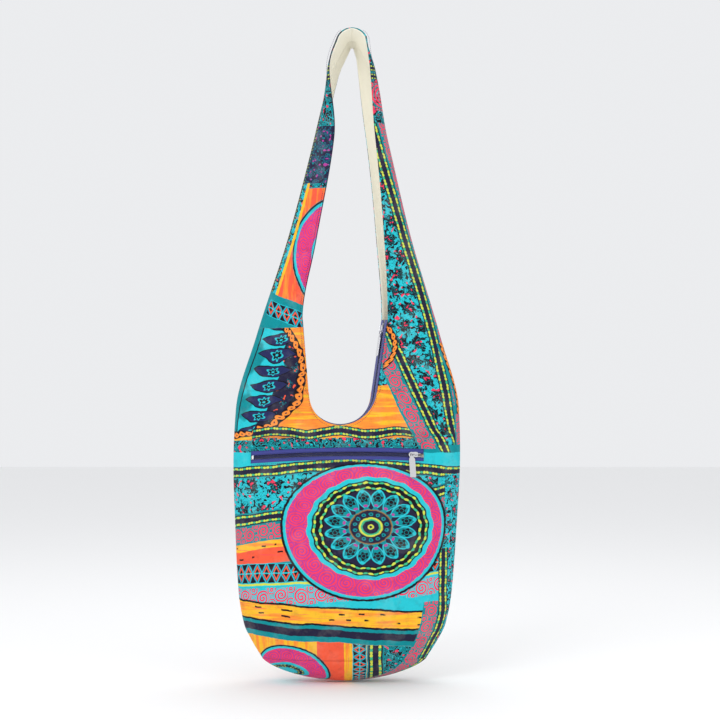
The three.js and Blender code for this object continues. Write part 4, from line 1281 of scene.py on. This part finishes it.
def stitches(name, centres, along, normal):
    """A row of thread stitches: one small spindle at each centre, lying along the row."""
    t = np.linspace(-1, 1, BAR_RINGS)
    size = np.sqrt(np.maximum(0.02, 1 - t ** 4))
    turn = 2 * math.pi * np.arange(BAR_SIDES) / BAR_SIDES
    run = np.repeat(t * STITCH_LENGTH / 2, BAR_SIDES)
    wide = (size[:, None] * np.cos(turn)).ravel() * THREAD_RADIUS
    high = (size[:, None] * np.sin(turn)).ravel() * THREAD_RADIUS
    return bars(name, centres, (along, np.cross(normal, along), normal), run, wide, high)


def spaced(path, normal, pitch):
    """Evenly spaced centres on a path, with its direction and its normal at each."""
    run = np.concatenate([[0], np.cumsum(np.linalg.norm(np.diff(path, axis=0), axis=1))])
    at = np.arange(pitch / 2, run[-1] - pitch / 2, pitch)
    centre = np.stack([np.interp(at, run, path[:, k]) for k in range(3)], -1)
    ahead = np.stack([np.interp(at + 0.5, run, path[:, k]) for k in range(3)], -1)
    up = np.stack([np.interp(at, run, normal[:, k]) for k in range(3)], -1)
    along = ahead - centre
    along /= np.maximum(np.linalg.norm(along, axis=1, keepdims=True), 1e-9)
    up -= along * np.sum(up * along, axis=1, keepdims=True)
    up /= np.linalg.norm(up, axis=1, keepdims=True)
    return centre, along, up


def rework(piece, change):
    """Opens a piece's mesh, changes its faces and puts it back."""
    shell = bmesh.new()
    shell.from_mesh(piece.data)
    change(shell)
    shell.to_mesh(piece.data)
    shell.free()


def solidify(piece, thickness, offset=-1.0):
    """Gives a sheet its thickness, inwards from the surface with offset -1."""
    wall = piece.modifiers.new("thickness", "SOLIDIFY")
    wall.thickness = thickness / 1000
    wall.offset = offset
    return piece


def dress(piece, material, body):
    """Material, body and material slot of a finished piece."""
    piece.data.materials.append(material)
    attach(piece, body)
    return piece


front_cotton = printed_cotton("front_cotton", True)
back_cotton = printed_cotton("back_cotton", False)
lining_cotton = plain_cotton("lining_cotton", CREAM)
pocket_cotton = plain_cotton("pocket_cotton", srgb(222, 216, 200))


def edge_rows(face):
    """The panel's edge from the left strap top, round the opening, to the right strap top, with a
    second row a few millimetres in from it."""
    left, right, body = parts_of(face)
    a, b = ARM_COLUMNS, ARM_COLUMNS + OPENING_COLUMNS
    folded = []
    for points, x, drop, u, far, rim in (left, right, body):
        normal, _ = facing_normals(points, face)
        folded.append((folds(points, normal, x, drop, rim, face), normal, u, drop))
    l, r, m = folded
    edge = np.concatenate([l[0][:, -1], m[0][0, a + 1:b], r[0][::-1, -1]])
    inner = np.concatenate([l[0][:, -2], m[0][1, a + 1:b], r[0][::-1, -2]])
    normal = np.concatenate([l[1][:, -2], m[1][0, a + 1:b], r[1][::-1, -2]])
    u = np.concatenate([l[2][:, -1], m[2][0, a + 1:b], r[2][::-1, -1]])
    drop = np.concatenate([np.broadcast_to(l[3], l[2].shape)[:, -1], m[3][0, a + 1:b],
                           np.broadcast_to(r[3], r[2].shape)[::-1, -1]])
    return edge, inner, normal, u, drop


def make_panel(name, face, material):
    """One printed face: its sheet, a rolled hem along the strap and opening, and a topstitch."""
    points, faces, (x, drop, u, far, rim) = panel_surface(face)
    if face < 0:
        middle_of_x = x[faces].mean(axis=1)
        across = (drop[faces].mean(axis=1) - POCKET_DROP - zip_fall(middle_of_x) * LEAN_SIN) / LEAN_COS
        cut = (np.abs(across) < SLOT_HALF) & (middle_of_x > POCKET_LEFT) & (middle_of_x < POCKET_RIGHT)
        faces = faces[~cut]
    maps = {"cloth": np.stack([u, drop], -1), "edges": np.stack([far, rim], -1)}
    panel = mesh_piece(name, points, faces, maps)
    solidify(panel, CLOTH)
    dress(panel, material, "bag")
    edge, inner, normal, edge_u, edge_drop = edge_rows(face)
    inward = inner - edge
    inward /= np.maximum(np.linalg.norm(inward, axis=1, keepdims=True), 1e-9)
    hem_points, hem_faces = tube(edge + inward * HEM_IN - normal * HEM_SUNK, normal, HEM_RADIUS)
    hem_map = np.stack([np.repeat(edge_u, 8), np.repeat(edge_drop, 8)], -1)
    hem = mesh_piece(name + "_hem", hem_points, hem_faces,
                     {"cloth": hem_map, "edges": np.zeros_like(hem_map) + 1.0})
    dress(hem, material, "bag")
    row = edge + inward * EDGE_TO_STITCH + normal * 0.12
    seam = stitches(name + "_topstitch", *spaced(row[6:-6], normal[6:-6], STITCH_PITCH))
    dress(seam, thread_dark, "bag")
    extra = [hem, seam]
    if face < 0:
        extra += pocket_topstitch()
    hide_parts("front_panel" if face < 0 else "back_panel")
    return panel


def pocket_topstitch():
    """A row of stitches above and below the pocket's slot, on the print."""
    rows = []
    length = np.linspace(along_at(POCKET_LEFT), along_at(POCKET_RIGHT), 200)
    turn = (length / POCKET_CURVE)[:, None]
    out = POCKET_OUT * np.cos(turn) + POCKET_ACROSS * np.sin(turn)
    for label, across in (("upper", -SLOT_HALF - SLOT_TO_STITCH), ("lower", SLOT_HALF + SLOT_TO_STITCH)):
        row = pocket_point(length, across, PRINT_OUT + 0.25)
        seam = stitches("pocket_topstitch_" + label, *spaced(row, out, STITCH_PITCH))
        rows.append(dress(seam, thread_dark, "bag"))
    return rows


def front_lining_inset(x, drop):
    """The front lining lies deeper behind the pocket, by the pocket's own bulge and a little more."""
    left = smooth(POUCH_LEFT - 18, POUCH_LEFT - 2, x)
    right = 1 - smooth(POUCH_RIGHT + 4, POUCH_RIGHT + 30, x)
    down = smooth(STRAP_DROP + 1, POUCH_TOP - 6, drop)
    up = 1 - smooth(POUCH_BOTTOM + 10, POUCH_BOTTOM + 50, drop)
    return LINING_INSET + left * right * down * up * (8 + pouch_bulge(x, drop))


def pouch_bulge(x, drop):
    """How far the pocket's back bulges: full in the middle, falling off as a fourth power."""
    across = (2 * x - POUCH_LEFT - POUCH_RIGHT) / (POUCH_RIGHT - POUCH_LEFT)
    down = (2 * drop - POUCH_TOP - POUCH_BOTTOM) / (POUCH_BOTTOM - POUCH_TOP)
    swell = np.maximum(0, 1 - np.abs(across) ** 4) * np.maximum(0, 1 - np.abs(down) ** 4)
    return POUCH_FULL * swell


def make_lining(name, face):
    """The plain cotton behind one printed face."""
    inset = front_lining_inset if face < 0 else (lambda x, drop: x * 0 + LINING_INSET)
    points, faces, (x, drop, u, far, rim) = panel_surface(face, inset)
    maps = {"cloth": np.stack([u, drop], -1), "edges": np.stack([far, rim], -1)}
    lining = mesh_piece(name, points, faces, maps)
    solidify(lining, LINING_CLOTH)
    dress(lining, lining_cotton, "bag")
    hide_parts("front_lining" if face < 0 else "back_lining")
    return lining


def base_surface(inset, rings=26, around=112):
    """A shallow dome below the seam: rings that shrink as a cosine while they sink, each ring a
    superellipse. Soft radial puckers run in from the seam."""
    size = np.cos(np.linspace(0, 1, rings + 1) * math.pi / 2)[:, None]
    turn = np.linspace(0, 2 * math.pi, around + 1)[None, :]
    share = np.sign(np.cos(turn)) * np.abs(np.cos(turn)) ** (2 / CROSS_POWER)
    centre = middle_x(BASE_SEAM)
    x = centre + BASE_WIDTH / 2 * share * size
    y = full_depth(BASE_SEAM) * np.sin(turn) * size
    drop = BASE_SEAM + SEAM_GAP / 2 + BASE_CROWN * (1 - size * size) ** 0.78 + 0 * turn
    points = np.stack([x, y, -drop], -1)
    normal = grid_normals(points[:-1])
    normal = np.concatenate([normal, np.broadcast_to([0, 0, -1.0], normal[-1:].shape)])
    outward = np.sign(np.sum(normal * (points - [centre, 0, -BASE_SEAM]), axis=-1, keepdims=True))
    normal = normal * np.where(outward == 0, 1, outward)
    pucker = 0.5 * np.sin(turn * 22) * size ** 6 * smooth(1, 0.9, size)
    sag = 0.9 * np.sin(x / 21 + 1) * np.sin(y / 15 + 0.5) * smooth(1.0, 0.7, size)
    moved = points + normal * (pucker + sag - inset)[..., None]
    moved[0, :, 2] = -BASE_SEAM - SEAM_GAP / 2
    radial = np.linalg.norm(np.diff(points, axis=0), axis=-1)
    fall = np.concatenate([np.zeros((1, around + 1)), np.cumsum(radial, axis=0)])
    return moved, x, fall, y


def make_base(name, node, inset, thickness, material):
    """The bag's foot, or its lining."""
    points, x, fall, y = base_surface(inset)
    rows, columns = x.shape
    faces = grid_faces(rows, columns, 0, False)
    flat = points.reshape(-1, 3)
    front = np.sum(np.cross(flat[faces[:, 2]] - flat[faces[:, 0]], flat[faces[:, 3]] - flat[faces[:, 1]])
                   * (flat[faces].mean(axis=1) - [middle_x(BASE_SEAM), 0, -BASE_SEAM + 40]), axis=1)
    if np.sum(front) < 0:
        faces = faces[:, ::-1]
    points, faces, (u, d, side) = weld(flat, faces, [x.ravel(), (BASE_SEAM + fall).ravel(), y.ravel()])
    keep = np.array([len(set(f)) for f in faces]) > 3
    maps = {"cloth": np.stack([u, d], -1), "edges": np.stack([d, side], -1)}
    base = mesh_piece(name, points, faces[keep], maps)

    def close_foot(shell):
        """Fills the hole that the innermost ring leaves at the foot."""
        low = -(BASE_SEAM + 5) / 1000
        rim = [edge for edge in shell.edges if edge.is_boundary and edge.verts[0].co.z < low]
        bmesh.ops.holes_fill(shell, edges=rim, sides=200)
        bmesh.ops.recalc_face_normals(shell, faces=shell.faces)

    if not keep.all():
        rework(base, close_foot)
    solidify(base, thickness)
    dress(base, material, "bag")
    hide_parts(node)
    return base


def make_pouch():
    """The pocket: one piece of cotton that hangs from the lower tape, turns up at its foot and
    climbs to the upper tape. Its front lies just behind the print and its back bulges away."""
    columns, rows = 60, 44
    x = np.linspace(POUCH_LEFT + 3, POUCH_RIGHT - 3, columns + 1)[None, :]
    t = np.linspace(0, 1, rows + 1)[:, None]
    fall = zip_fall(x) * LEAN_SIN
    front_top = POCKET_DROP + fall + (SLOT_HALF + 2.2) * LEAN_COS
    back_top = POCKET_DROP + fall - (SLOT_HALF + 2.6) * LEAN_COS
    foot = POUCH_BOTTOM - 2.0
    down = lerp(front_top, foot, t)
    up = lerp(foot, back_top, t)[1:]
    sheets = []
    for drop, deep in ((down, 0.0), (up, 1.0)):
        point = turned(x + 0 * drop, -np.maximum(1, body_depth(x + 0 * drop, drop, -1)), drop)
        normal = grid_normals(point)
        normal = normal * np.sign(-normal[..., 1:2])
        side = np.minimum(x - POUCH_LEFT - 3, POUCH_RIGHT - 3 - x)
        room = (3.6 + pouch_bulge(x, drop)) * np.sqrt(np.clip((foot - drop) / 9.0, 0.02, 1))
        room = 1.0 + (room - 1.0) * smooth(0, 8, side)
        crease = 0.5 * np.sin(x / 9.0 + drop / 25.0) * smooth(0, 12, side) * smooth(0, 15, foot - drop)
        behind = 2.9 + deep * room + deep * crease
        sheets.append(point - normal * behind[..., None])
    points = np.concatenate(sheets)
    run = np.concatenate([down, 2 * foot - up])
    maps = {"cloth": np.stack([np.broadcast_to(x, run.shape).ravel(), run.ravel()], -1)}
    maps["edges"] = maps["cloth"] * 0 + 50
    faces = grid_faces(len(run), columns + 1, 0, False)
    pouch = mesh_piece("pocket_bag", points.reshape(-1, 3), faces, maps)
    solidify(pouch, 0.6, 0.0)
    dress(pouch, pocket_cotton, "bag")
    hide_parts("pocket_pouch_front", "pocket_pouch_back")
    return pouch


def main_point(along, depth, out):
    """A point of the main zip: along the opening, in depth, and out towards its middle."""
    x, drop, in_x, in_z = opening_edge(along)
    return turned(x + out * in_x, depth, drop - out * in_z)


def main_depth(along):
    """Half of the depth that the main zip bridges, at a length along the opening."""
    x, drop, in_x, _ = opening_edge(along)
    arm = np.where(in_x > 0, arm_depth(1.0, drop, -1), arm_depth(1.0, drop, 1))
    return np.where(drop > ARC_DROP, body_depth(x, drop, 1), arm)


def tape_material():
    """Navy woven tape: fine ribs across it, diagonal twill lines painted darker as painted shade, a darker
    sewn line near its edge, soft wear.
    """
    material, tree, shader = new_material("zip_tape_weave")
    along, across = pattern_map(tree, "cloth")
    rib = (along * (math.pi / 0.9)).sin()
    diagonal = ((along + across) * (math.pi / 0.7)).sin()
    dye = Dye(tree, srgb(58, 64, 152))
    dye.add(noise(tree, joined(tree, along * 0.08, across * 0.4, 1.0), 1.0, 3.0) * 0.55, srgb(44, 50, 112))
    # Painted shade along the diagonal twill lines
    dye.add((diagonal * 0.5 + 0.5) * 0.3, srgb(40, 44, 100))
    dye.add(abs(across - 4.6).under(0.35) * 0.8, srgb(26, 30, 74))
    tree.links.new(dye.value, shader.inputs["Base Color"])
    shader.inputs["Roughness"].default_value = 0.78
    shader.inputs["Sheen Weight"].default_value = 0.2
    add_bump(tree, shader, rib * 0.5 + diagonal * 0.5, 0.5, 0.0002)
    return material


def nylon_material():
    """Dyed nylon for the zip's teeth: dark navy, a little glossy, faintly mottled."""
    material, tree, shader = new_material("zip_teeth_nylon")
    place = place_of(tree)
    dye = Dye(tree, srgb(34, 38, 88))
    dye.add(noise(tree, place, 260.0, 2.0) * 0.6, srgb(20, 24, 62))
    tree.links.new(dye.value, shader.inputs["Base Color"])
    shader.inputs["Roughness"].default_value = 0.36
    return material


def thread_material(name, color, dark):
    """Sewing thread: two plies wound round each other, with the grooves between them painted darker in
    slanting stripes as painted shade.
    """
    material, tree, shader = new_material(name)
    place = tree.nodes.new("ShaderNodeSeparateXYZ")
    tree.links.new(place_of(tree), place.inputs[0])
    x, z = Wire(tree, place.outputs[0]), Wire(tree, place.outputs[2])
    # Painted shade in the grooves between the plies
    ply_groove_shade = ((x + z) * 9000.0).sin() * 0.5 + 0.5
    dye = Dye(tree, color)
    dye.add(ply_groove_shade * 0.6, dark)
    tree.links.new(dye.value, shader.inputs["Base Color"])
    shader.inputs["Roughness"].default_value = 0.7
    return material


def plated_metal():
    """Bright nickel plate with light handling marks: fine scratches in the gloss and a little
    cloudiness in the tone."""
    material, tree, shader = new_material("bright_plate")
    place = place_of(tree)
    dye = Dye(tree, srgb(228, 228, 230))
    dye.add(noise(tree, place, 500.0, 4.0) * 0.2, srgb(180, 180, 186))
    tree.links.new(dye.value, shader.inputs["Base Color"])
    shader.inputs["Metallic"].default_value = 1.0
    scratch = noise(tree, place, 900.0, 5.0, 0.7)
    gloss = scratch * 0.16 + 0.14
    tree.links.new(gloss.value, shader.inputs["Roughness"])
    add_bump(tree, shader, scratch, 0.06, 0.00003)
    return material


tape_weave = tape_material()
nylon = nylon_material()
thread_dark = thread_material("thread_navy", srgb(44, 60, 96), srgb(22, 32, 60))
metal = plated_metal()


def make_tape(name, node, points, along, across):
    """A woven tape from a grid of points."""
    maps = {"cloth": np.stack([along.ravel(), across.ravel()], -1)}
    piece = mesh_piece(name, points.reshape(-1, 3), grid_faces(*along.shape, 0, False), maps)
    solidify(piece, TAPE, 0.0)
    dress(piece, tape_weave, "bag")
    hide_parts(node)
    return piece


def make_pocket_tapes():
    """Both tapes of the pocket zip, which follow the zip's arc."""
    ends = along_at(POCKET_LEFT) - TAPE_LAP, along_at(POCKET_RIGHT) + TAPE_LAP
    for label, side in (("upper", -1), ("lower", 1)):
        along, across = np.meshgrid(
            np.linspace(*ends, 220), np.linspace(TAPE_EDGE, SLOT_HALF + TAPE_LAP, 9), indexing="ij")
        wave = 0.25 * np.sin(along / 5.3 + side) * smooth(TAPE_EDGE + 1, SLOT_HALF, across)
        make_tape("pocket_tape_" + label + "_woven", "pocket_tape_" + label,
                  pocket_point(along, side * across, wave), along, across)


def make_main_tapes():
    """Both tapes of the main zip, which bridge the opening's depth round its whole edge."""
    for label, face in (("front", -1), ("back", 1)):
        along = np.linspace(0, OPENING_LENGTH, 260)[:, None]
        depth = main_depth(along) - CLOTH - CLEARANCE
        share = np.linspace(0, 1, 9)[None, :]
        across = lerp(TAPE_EDGE, depth, share)
        along = along + 0 * across
        wave = 0.3 * np.sin(along / 6.1 + face) * smooth(0.2, 1, share) * (1 - smooth(0.92, 1.0, share))
        make_tape("main_tape_" + label + "_woven", "main_tape_" + label,
                  main_point(along, face * across, wave), along, across)


def coil(name, node, place, side, start, end, pitch=1.6):
    """A row of nylon teeth: a small rounded bar at each pitch, which leans along the zip and
    reaches from its tape to just past the middle. The other side's bars stand between these."""
    at = np.arange(start + (0 if side > 0 else pitch / 2), end, pitch)
    here = place(at, 0 * at, 0 * at)
    along = place(at + 0.5, 0 * at, 0 * at) - here
    along /= np.linalg.norm(along, axis=1, keepdims=True)
    across = place(at, 0 * at + side, 0 * at) - here
    across -= along * np.sum(across * along, axis=1, keepdims=True)
    across /= np.linalg.norm(across, axis=1, keepdims=True)
    up = np.cross(along, across)
    reach = np.repeat(lerp(TAPE_EDGE - 0.25, -0.75, np.linspace(0, 1, BAR_RINGS)), BAR_SIDES)
    wide = np.array([0.35, 0.62, 0.62, 0.68, 0.3])
    high = np.array([0.5, 1.05, 1.15, 1.15, 0.6])
    corner = 2 * math.pi * (np.arange(BAR_SIDES) + 0.5) / BAR_SIDES
    lean = 0.25 * (reach - 1.2)
    run = (wide[:, None] * np.cos(corner)).ravel() + lean
    row = bars(name, here, (along, across, up), run, reach, (high[:, None] * np.sin(corner)).ravel())
    rework(row, lambda shell: bmesh.ops.recalc_face_normals(shell, faces=shell.faces))
    dress(row, nylon, "bag")
    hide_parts(node)
    return row


def polished(node, body, width=0.00028):
    """A metal piece as it is in the frame, with its corners welded and its edges rounded."""
    piece = bpy.data.objects.new(node + "_plated", nodes[node].data.copy())
    bpy.context.scene.collection.objects.link(piece)
    piece.data.materials.clear()

    def weld_flats(shell):
        """Joins corners in one place and faces in one plane."""
        bmesh.ops.remove_doubles(shell, verts=shell.verts, dist=1e-6)
        bmesh.ops.dissolve_limit(shell, angle_limit=0.01, verts=shell.verts, edges=shell.edges)

    rework(piece, weld_flats)
    edge = piece.modifiers.new("rounded", "BEVEL")
    edge.width = width
    edge.segments = 2
    edge.limit_method = "ANGLE"
    edge.angle_limit = math.radians(35)
    edge.harden_normals = True
    dress(piece, metal, body)
    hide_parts(node)
    return piece


make_panel("front_print", -1, front_cotton)
make_panel("back_print", 1, back_cotton)
make_lining("front_lining_cotton", -1)
make_lining("back_lining_cotton", 1)
make_base("base_print", "base_panel", 0.0, CLOTH, back_cotton)
make_base("base_lining_cotton", "base_lining", LINING_INSET, LINING_CLOTH, lining_cotton)
make_pouch()
make_pocket_tapes()
make_main_tapes()

pocket_slider_at = along_at(POCKET_RIGHT) - TOP_STOP_ROOM - SLIDER_NOSE
main_slider_at = OPENING_LENGTH - TOP_STOP_ROOM - SLIDER_NOSE
for side, label in ((-1, "upper"), (1, "lower")):
    coil("pocket_coil_" + label, "pocket_teeth_" + label, pocket_point, side,
         along_at(POCKET_LEFT) + 4.6, pocket_slider_at + 0.6)
for side, label in ((-1, "front"), (1, "back")):
    coil("main_coil_" + label, "main_teeth_" + label, main_point, side, 4.6, main_slider_at + 0.6)

for node in ("pocket_slider", "pocket_puller", "main_slider", "main_puller"):
    polished(node, node)
for node in ("pocket_bottom_stop", "pocket_top_stop_upper", "pocket_top_stop_lower",
             "main_bottom_stop", "main_top_stop_front", "main_top_stop_back"):
    polished(node, "bag", 0.0002)


def area_light(name, place, target, size, power):
    """A soft square light that faces a target."""
    lamp = bpy.data.lights.new(name, "AREA")
    lamp.size = size
    lamp.energy = power
    holder = bpy.data.objects.new(name, lamp)
    holder.location = place
    aim = np.array(target, float) - np.array(place, float)
    aim /= np.linalg.norm(aim)
    holder.rotation_euler = (math.acos(-aim[2]), 0, math.atan2(aim[0], -aim[1]) + math.pi)
    bpy.context.scene.collection.objects.link(holder)
    return holder


def studio():
    """A wide pale floor under an even sky, a large soft key from the upper left, a fill from the
    right and a light from above."""
    reach, level = 6000.0, -962.0
    corners = [(x, y, level) for x, y in ((-reach, -reach), (reach, -reach), (reach, reach), (-reach, reach))]
    floor = mesh_piece("floor", np.array(corners), np.array([[0, 1, 2, 3]]))
    material, tree, shader = new_material("pale_floor")
    shader.inputs["Base Color"].default_value = (0.92, 0.92, 0.92, 1)
    shader.inputs["Roughness"].default_value = 0.9
    floor.data.materials.append(material)
    world = bpy.data.worlds.new("studio")
    bpy.context.scene.world = world
    world.use_nodes = True
    sky = world.node_tree.nodes["Background"]
    sky.inputs["Color"].default_value = (0.97, 0.98, 1.0, 1)
    sky.inputs["Strength"].default_value = 0.86
    area_light("key", (-1.3, -2.4, 0.7), (0, 0, -0.5), 1.4, 26)
    area_light("fill", (1.8, -1.8, -0.1), (0, 0, -0.5), 1.6, 8)
    area_light("top", (0.2, 0.6, 1.3), (0, 0, -0.5), 1.2, 10)
    bpy.context.scene.view_settings.view_transform = "Standard"


studio()
camera = bpy.data.objects.new("camera", bpy.data.cameras.new("camera"))
camera.data.lens = 100
camera.data.sensor_width = 36
camera.location = (0.012, -3.0, -0.48)
camera.rotation_euler = (math.pi / 2, 0, 0)
bpy.context.scene.collection.objects.link(camera)
bpy.context.scene.camera = camera
